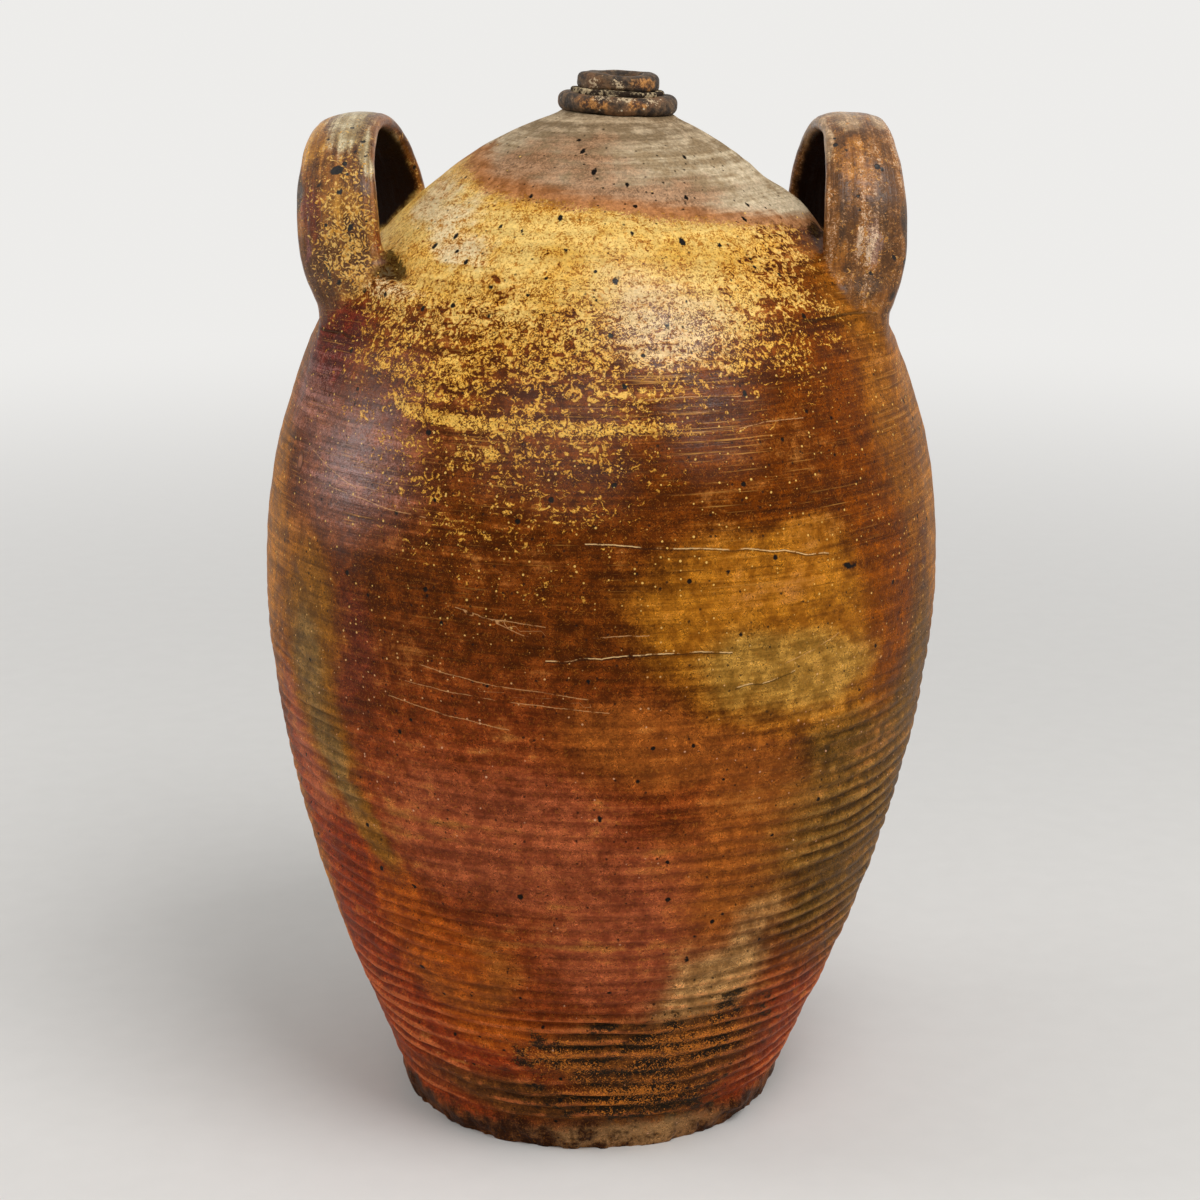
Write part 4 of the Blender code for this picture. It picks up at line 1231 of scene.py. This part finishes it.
def marked(tree, grain, colour, rise):
    """Iron spots, pale specks, pits, the scar, scratches and cracks with a painted shadow under them,
    painted shade in the creases; also their relief.
    """
    far, pick, size = tree.cells(grain.place, 85)
    spot = tree.step(far - size * 0.07 + grain.stir(fine=0.08), 0.055, 0.020) * tree.step(pick, 0.20, 0.22)
    far_small, pick_small, _ = tree.cells(grain.place, 240)
    often = pick_small + tree.step(rise, 0.36, 0.40) * 0.12
    prick = tree.step(far_small + grain.stir(fine=0.10), 0.16, 0.10) * tree.step(often, 0.58, 0.60)
    colour = tree.mix(tree.maths("MAXIMUM", spot, prick * 0.75), colour, srgb(30, 22, 16))
    far_tiny, pick_tiny, size_tiny = tree.cells(grain.place, 380)
    many = tree.step(rise, 0.14, 0.27) * tree.step(rise, 0.42, 0.39) * 0.40 + grain.stir(coarse=0.8) + 0.01
    speck = tree.step(far_tiny - size_tiny * 0.11 + grain.stir(fine=0.24), 0.12, 0.05)
    speck = speck * tree.step(many - pick_tiny, 0.0, 0.03)
    speck_colour = tree.tones(rise, 0.20, 0.28, (226, 170, 130), (248, 198, 104))
    colour = tree.mix(speck * 0.8, colour, speck_colour)
    colour = pitted(tree, grain, colour, "pit")
    scar = tree.weight("scar") + grain.stir(fine=1.0)
    scar_rim = tree.step(tree.maths("ABSOLUTE", scar - 3.6), 1.1, 0.4)
    colour = tree.mix(tree.step(scar, 3.6, 3.0) * 0.6, colour, srgb(168, 112, 84))
    colour = tree.mix(scar_rim * 0.7, colour, srgb(86, 50, 30))
    scratch = tree.maths("ABSOLUTE", tree.weight("scratch") + grain.stir(fine=0.8))
    mark = tree.step(scratch, 0.26, 0.08) * tree.step(grain.medium + grain.streak, 0.86, 1.02)
    colour = tree.mix(mark * 0.7, colour, srgb(214, 160, 104))
    # Painted shade along the creases at the handle roots
    crease = tree.maths("ABSOLUTE", tree.weight("crease") + grain.stir(fine=0.8, medium=1.6))
    crease_shade = tree.step(crease, 0.80, 0.20)
    colour = tree.mix(crease_shade * 0.75, colour, srgb(52, 30, 12))
    crack = tree.weight("crack") + grain.stir(fine=0.6)
    line = tree.step(tree.maths("ABSOLUTE", crack), 0.34, 0.12) * tree.step(grain.medium, 0.40, 0.50)
    # Painted shadow just under each crack
    crack_shadow = tree.step(tree.maths("ABSOLUTE", crack + 0.55), 0.40, 0.14)
    colour = tree.mix(crack_shadow * 0.6, colour, srgb(40, 24, 12))
    colour = tree.mix(line, colour, srgb(228, 186, 128))
    relief = scar_rim * 0.0003 - spot * 0.0005 - prick * 0.0002 - line * 0.0002 - crease_shade * 0.0005
    return colour, relief


def wall_glaze(tree, grain):
    """Colour, roughness, relief and shine of the wall, from its painted weights."""
    rise = tree.weight("rise")
    gloss_and_highlight = tree.weight("gloss_and_highlight")
    colour = ribbed(tree, grain, glaze_colour(tree, grain), rise)

    # Dirty clay and grit low on the foot; its dark tone is partly painted shade from the undercut and the
    # floor
    foot = tree.step(rise + grain.stir(medium=0.014), 0.0165, 0.0105)
    grit = tree.weight("grit")
    gritty = tree.step(grain.coarse * 0.3 + grain.medium * 0.7 + grit * 0.06, 0.44, 0.60)
    grime_and_shade = tree.mix(gritty, srgb(40, 24, 12), tree.mix(grit, srgb(96, 58, 32), srgb(160, 122, 78)))
    colour = tree.mix(foot * 0.88, colour, grime_and_shade)

    # Grain: soft mottling, streaks along the throwing lines, and small pale and dark curls
    upper = tree.step(rise, 0.22, 0.30)
    colour = tree.shade(colour, grain.stir(fine=1.1, medium=0.9) + 1.0)
    streaky = (grain.streak - 0.5) * (upper * 0.9 + 0.7) + grain.stir(sweep=0.5, coarse=0.7)
    colour = tree.shade(colour, streaky + 1.0)
    colour = tree.mix(tree.step(grain.curl, 0.59, 0.65) * 0.26, colour, srgb(196, 122, 42))
    colour = tree.mix(tree.step(grain.curl, 0.41, 0.35) * 0.40, colour, srgb(44, 21, 5))
    emboss = worms(tree, grain)
    colour = tree.shade(colour, emboss * 0.62 + 1.04)
    # Pale scored throwing lines, drawn stronger on the gloss as a painted highlight along them
    highlight_share = gloss_and_highlight * (1.0 - tree.weight("plum"))
    scored = tree.step(grain.scoring + highlight_share * 0.06, 0.60, 0.69) * upper
    scored = scored * tree.step(grain.coarse, 0.42, 0.58)
    colour = tree.mix(scored * (highlight_share * 0.5 + 0.42), colour, srgb(214, 152, 70))
    colour = tree.mix(tree.step(grain.scoring, 0.42, 0.32) * upper * 0.45, colour, srgb(50, 24, 6))

    colour, whole = ashed(tree, grain, colour, rise, gloss_and_highlight)
    colour, is_bare = bared(tree, grain, colour, rise)
    # Painted shade in the hollows at the handle roots
    root_shade_weight = tree.weight("hollow")
    hollow = root_shade_weight + grain.stir(medium=2.2, curl=1.2)
    hollow = tree.step(hollow, 0.26, 0.44) * tree.step(root_shade_weight, 0.02, 0.10)
    colour = tree.mix(hollow * 0.88, colour, srgb(42, 27, 12))
    colour, marks = marked(tree, grain, colour, rise)
    relief = (
        grain.stir(streak=0.00034, scoring=0.00012, fine=0.00016, medium=0.00030)
        + emboss * 0.00005 + whole * 0.00014 + marks)
    rough = 0.44 + grain.stir(medium=0.30) - gloss_and_highlight * 0.16 + is_bare * 0.40
    shine = (0.045 + gloss_and_highlight * 0.32) * (1.0 - is_bare * 0.6) * (1.0 - hollow * 0.9)
    return colour, rough, relief, shine


def make_body_material():
    tree = Tree("jug_glaze")
    return tree.finish(*wall_glaze(tree, grains(tree)))


def make_handle_material(side_name):
    """The strap's own streaked glaze, which runs into the wall's at its skirts."""
    tree = Tree(side_name + "_handle_glaze")
    grain = grains(tree)
    look = STRAP_LOOKS[side_name]
    along = tree.joined(tree.weight("strap_across"), tree.weight("strap_along"), tree.weight("outward"))
    pull = tree.noise(tree.stretched(along, (420, 20, 2)), 1.0, 4, 0.6)
    wide_pull = tree.noise(tree.stretched(along, (130, 9, 1)), 1.0, 3, 0.55)
    pulled = (pull + wide_pull) * (look["streaky"] / 2)
    shade = tree.step(grain.medium * (1 - look["streaky"]) + pulled, 0.42, 0.58)
    colour = tree.mix(shade, srgb(*look["dark"]), srgb(*look["light"]))
    ragged = (wide_pull - 0.5) * 0.7 + (pull - 0.5) * 0.9 + grain.stir(medium=0.7, fine=0.4)
    for zone, (light, dark, _) in STRAP_ZONES[side_name].items():
        if zone != "flake":
            rough_edge = ragged + (grain.curl - 0.5) * (3.0 if zone == "glint" else 0.6)
            share = tree.step(tree.weight("strap_" + zone) + rough_edge, 0.14, 0.62) * 0.94
            colour = tree.mix(share, colour, tree.mix(shade, srgb(*dark), srgb(*light)))
    mottle = grain.stir(fine=1.2, medium=1.1) + (pull - 0.5) * 0.8 + (wide_pull - 0.5) * 0.5
    colour = tree.shade(colour, mottle + 1.0)
    emboss = worms(tree, grain)
    colour = tree.shade(colour, emboss * 0.62 + 1.04)
    colour = tree.mix(tree.step(grain.curl, 0.60, 0.66) * 0.26, colour, srgb(*look["curl"]))
    colour = tree.mix(tree.step(grain.curl, 0.40, 0.35) * 0.36, colour, srgb(36, 18, 8))
    light, dark, _ = STRAP_ZONES[side_name]["flake"]
    flake = tree.noise(grain.place, 330, 4, 0.52, 2.2)
    cover = flake * 0.75 + grain.medium * 0.25 + tree.weight("strap_flake") * look["heavy"]
    whole = tree.step(cover, 0.615, 0.630)
    colour = tree.mix(whole * 0.92, colour, tree.tones(grain.fine, 0.40, 0.60, dark, light))
    far, pick, size = tree.cells(grain.place, 130)
    spot = tree.step(far - size * 0.14 + grain.stir(fine=0.08), 0.07, 0.03) * tree.step(pick, 0.50, 0.52)
    colour = tree.mix(spot, colour, srgb(28, 22, 18))
    colour = pitted(tree, grain, colour, "strap_pit")
    # Painted shade inside the loop: the strap's inner face made near black
    inner = tree.step(tree.weight("outward") + grain.stir(medium=0.3), -0.30, -0.70)
    colour = tree.mix(inner, colour, srgb(24, 11, 5))
    relief = (
        (pull - 0.5) * 0.0007 + grain.stir(fine=0.00018) + emboss * 0.00006 + whole * 0.00018
        - spot * 0.0005)
    rough = 0.32 + grain.stir(medium=0.35) + whole * 0.06
    shine = (1.0 - inner * 0.8) * 0.30

    skirt = tree.step(tree.weight("skirt") + grain.stir(medium=0.6), 0.25, 0.85)
    wall, wall_rough, wall_relief_height, wall_shine = wall_glaze(tree, grain)
    return tree.finish(
        tree.mix(skirt, colour, wall),
        rough + (wall_rough - rough) * skirt,
        relief + (wall_relief_height - relief) * skirt,
        shine + (wall_shine - shine) * skirt)


def make_neck_material():
    tree = Tree("dark_neck_clay")
    place = tree.place()
    coarse = tree.noise(place, 80, 4, 0.6)
    medium = tree.noise(place, 260, 5, 0.65)
    fine = tree.noise(place, 1100, 3, 0.6)
    colour = tree.tones(medium * 0.6 + coarse * 0.4, 0.42, 0.60, (40, 29, 20), (104, 80, 56))
    colour = tree.mix(tree.step(coarse, 0.53, 0.64) * 0.45, colour, srgb(124, 82, 48))
    colour = tree.mix(tree.step(coarse, 0.42, 0.34) * 0.50, colour, srgb(112, 96, 80))
    rust = tree.weight("rust") + (medium - 0.5) * 1.6 + (coarse - 0.5) * 1.4
    rust_colour = tree.tones(fine * 0.3 + medium * 0.7, 0.44, 0.58, (84, 50, 26), (190, 130, 66))
    colour = tree.mix(tree.step(rust, 0.25, 0.80) * 0.85, colour, rust_colour)
    colour = tree.shade(colour, (fine - 0.5) * 1.6 + 1.0)
    crust = tree.weight("crust") + (medium - 0.5) * 1.6 + (fine - 0.5) * 4.0
    colour = tree.mix(tree.step(crust, 0.72, 1.02) * 0.85, colour, srgb(202, 178, 142))
    far, pick, _ = tree.cells(place, 420)
    colour = tree.mix(tree.step(far, 0.24, 0.14) * tree.step(pick, 0.88, 0.91), colour, srgb(206, 190, 160))
    relief = (medium - 0.5) * 0.0006 + (fine - 0.5) * 0.0003
    return tree.finish(colour, 0.66, relief, 0.30)


def make_residue_material():
    tree = Tree("gritty_crust")
    place = tree.place()
    coarse = tree.noise(place, 160, 3, 0.6)
    medium = tree.noise(place, 520, 5, 0.65)
    fine = tree.noise(place, 1600, 3, 0.6)
    colour = tree.tones(medium * 0.6 + coarse * 0.4, 0.48, 0.60, (44, 31, 21), (196, 174, 136))
    colour = tree.shade(colour, (fine - 0.5) * 1.4 + 1.0)
    relief = (medium - 0.5) * 0.0012 + (fine - 0.5) * 0.0004
    return tree.finish(colour, 0.9, relief, 0.2)


def dress(obj, material, slot, *nodes):
    """Give a piece its finish, and let it stand for its solids."""
    obj.data.materials.append(material)
    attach(obj, "root")
    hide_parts(*nodes)


def make_jug():
    glaze = make_body_material()
    dress(make_foot(), glaze, "foot_clay", "foot_disc")
    dress(make_wall("jug_lower_wall", FOOT_TOP, LOWER_SEAM), glaze, "red_ribbed_glaze", "lower_wall")
    dress(make_wall("jug_upper_wall", LOWER_SEAM, UPPER_SEAM), glaze, "orange_brown_glaze", "upper_wall")
    dress(make_wall("jug_dome", UPPER_SEAM, NECK_BASE_HEIGHT), glaze, "ochre_ash_glaze", "shoulder_dome")
    clay = make_neck_material()
    dress(make_neck(), glaze, "dark_bare_clay", "neck")
    collar, lip = make_rings()
    dress(collar, clay, "dark_bare_clay", "collar_ring")
    dress(lip, clay, "dark_bare_clay", "lip_ring")
    dress(make_residue(), make_residue_material(), "gritty_residue", "groove_residue")
    for side_name in HANDLES:
        nodes = [side_name + "_handle" + part for part in ("", "_front_pad", "_rear_pad")]
        dress(make_handle(side_name), make_handle_material(side_name), side_name + "_handle_glaze", *nodes)


# Camera where the photographer stood
CAMERA_PLACE = (0.0049, -1.187, 0.548)
CAMERA_PITCH = math.radians(14.9)
CAMERA_LENS = 80.5

# Soft lamps: degrees round from the front, degrees above the floor, distance, size, watts
LAMPS = (
    ("key", 34, 56, 1.7, 0.9, 18),
    ("left_fill", -92, 18, 1.5, 0.7, 6),
    ("right_fill", 85, 25, 1.6, 1.0, 2.5),
)
LAMP_AIM_HEIGHT = 0.25
# The sky's colour, its strength as light on the jug, and its strength where it is seen
SKY_COLOUR = (1.0, 0.99, 0.97, 1.0)
SKY_LIGHT = 0.45
SKY_SEEN = 0.85
FLOOR_HALF_WIDTH = 4.0
# The floor fades into the seen sky between these distances from the jug
FLOOR_FADE = (0.30, 2.20)
FLOOR_FAR_COLOUR = (0.85, 0.8415, 0.8245, 1.0)


def make_camera():
    data = bpy.data.cameras.new("camera")
    data.lens = CAMERA_LENS
    camera = new_object("camera", data)
    camera.location = CAMERA_PLACE
    camera.rotation_euler = (math.pi / 2 - CAMERA_PITCH, 0, 0)
    bpy.context.scene.camera = camera


def make_lamps():
    middle = Vector((0, 0, LAMP_AIM_HEIGHT))
    for name, degrees, rise, distance, size, watts in LAMPS:
        data = bpy.data.lights.new(name, "AREA")
        data.shape = "SQUARE"
        data.size = size
        data.energy = watts
        lamp = new_object(name, data)
        angle, up = math.radians(degrees), math.radians(rise)
        away = Vector((math.sin(angle) * math.cos(up), -math.cos(angle) * math.cos(up), math.sin(up)))
        lamp.location = middle + away * distance
        lamp.rotation_euler = away.to_track_quat("Z", "Y").to_euler()


def seen_directly(nodes, links):
    """1 for rays that come from the eye, straight, by reflection or through glass."""
    path = nodes.new("ShaderNodeLightPath")
    total = path.outputs["Is Camera Ray"]
    for name in ("Is Glossy Ray", "Is Transmission Ray"):
        add = nodes.new("ShaderNodeMath")
        add.operation = "MAXIMUM"
        links.new(total, add.inputs[0])
        links.new(path.outputs[name], add.inputs[1])
        total = add.outputs[0]
    return total


def make_world():
    world = bpy.data.worlds.new("studio")
    world.use_nodes = True
    nodes, links = world.node_tree.nodes, world.node_tree.links
    background = nodes["Background"]
    background.inputs["Color"].default_value = SKY_COLOUR
    strength = nodes.new("ShaderNodeMapRange")
    strength.inputs["To Min"].default_value = SKY_LIGHT
    strength.inputs["To Max"].default_value = SKY_SEEN
    links.new(seen_directly(nodes, links), strength.inputs["Value"])
    links.new(strength.outputs["Result"], background.inputs["Strength"])
    bpy.context.scene.world = world


def make_floor():
    mesh = bpy.data.meshes.new("floor")
    half = FLOOR_HALF_WIDTH
    corners = [(-half, -half, 0), (half, -half, 0), (half, half, 0), (-half, half, 0)]
    mesh.from_pydata(corners, [], [(0, 1, 2, 3)])
    floor = new_object("floor", mesh)
    tree = Tree("pale_floor")
    place = tree.place()
    grain = tree.noise(place, 60, 3)
    colour = tree.mix(grain, (0.74, 0.73, 0.71, 1), (0.78, 0.77, 0.75, 1))
    length = tree.nodes.new("ShaderNodeVectorMath")
    length.operation = "LENGTH"
    tree.feed(length.inputs[0], place)
    far = tree.step(Wire(tree, length.outputs["Value"]), *FLOOR_FADE)
    seen = far * Wire(tree, seen_directly(tree.nodes, tree.links))
    material = tree.finish(colour, 0.8, grain * 0.0001, 0.1)
    glow = tree.nodes.new("ShaderNodeEmission")
    glow.inputs["Color"].default_value = FLOOR_FAR_COLOUR
    blend = tree.nodes.new("ShaderNodeMixShader")
    tree.feed(blend.inputs[0], seen)
    tree.links.new(tree.shader.outputs[0], blend.inputs[1])
    tree.links.new(glow.outputs[0], blend.inputs[2])
    tree.links.new(blend.outputs[0], tree.nodes["Material Output"].inputs["Surface"])
    mesh.materials.append(material)


make_jug()
make_camera()
make_lamps()
make_world()
make_floor()
bpy.context.scene.view_settings.view_transform = "Standard"
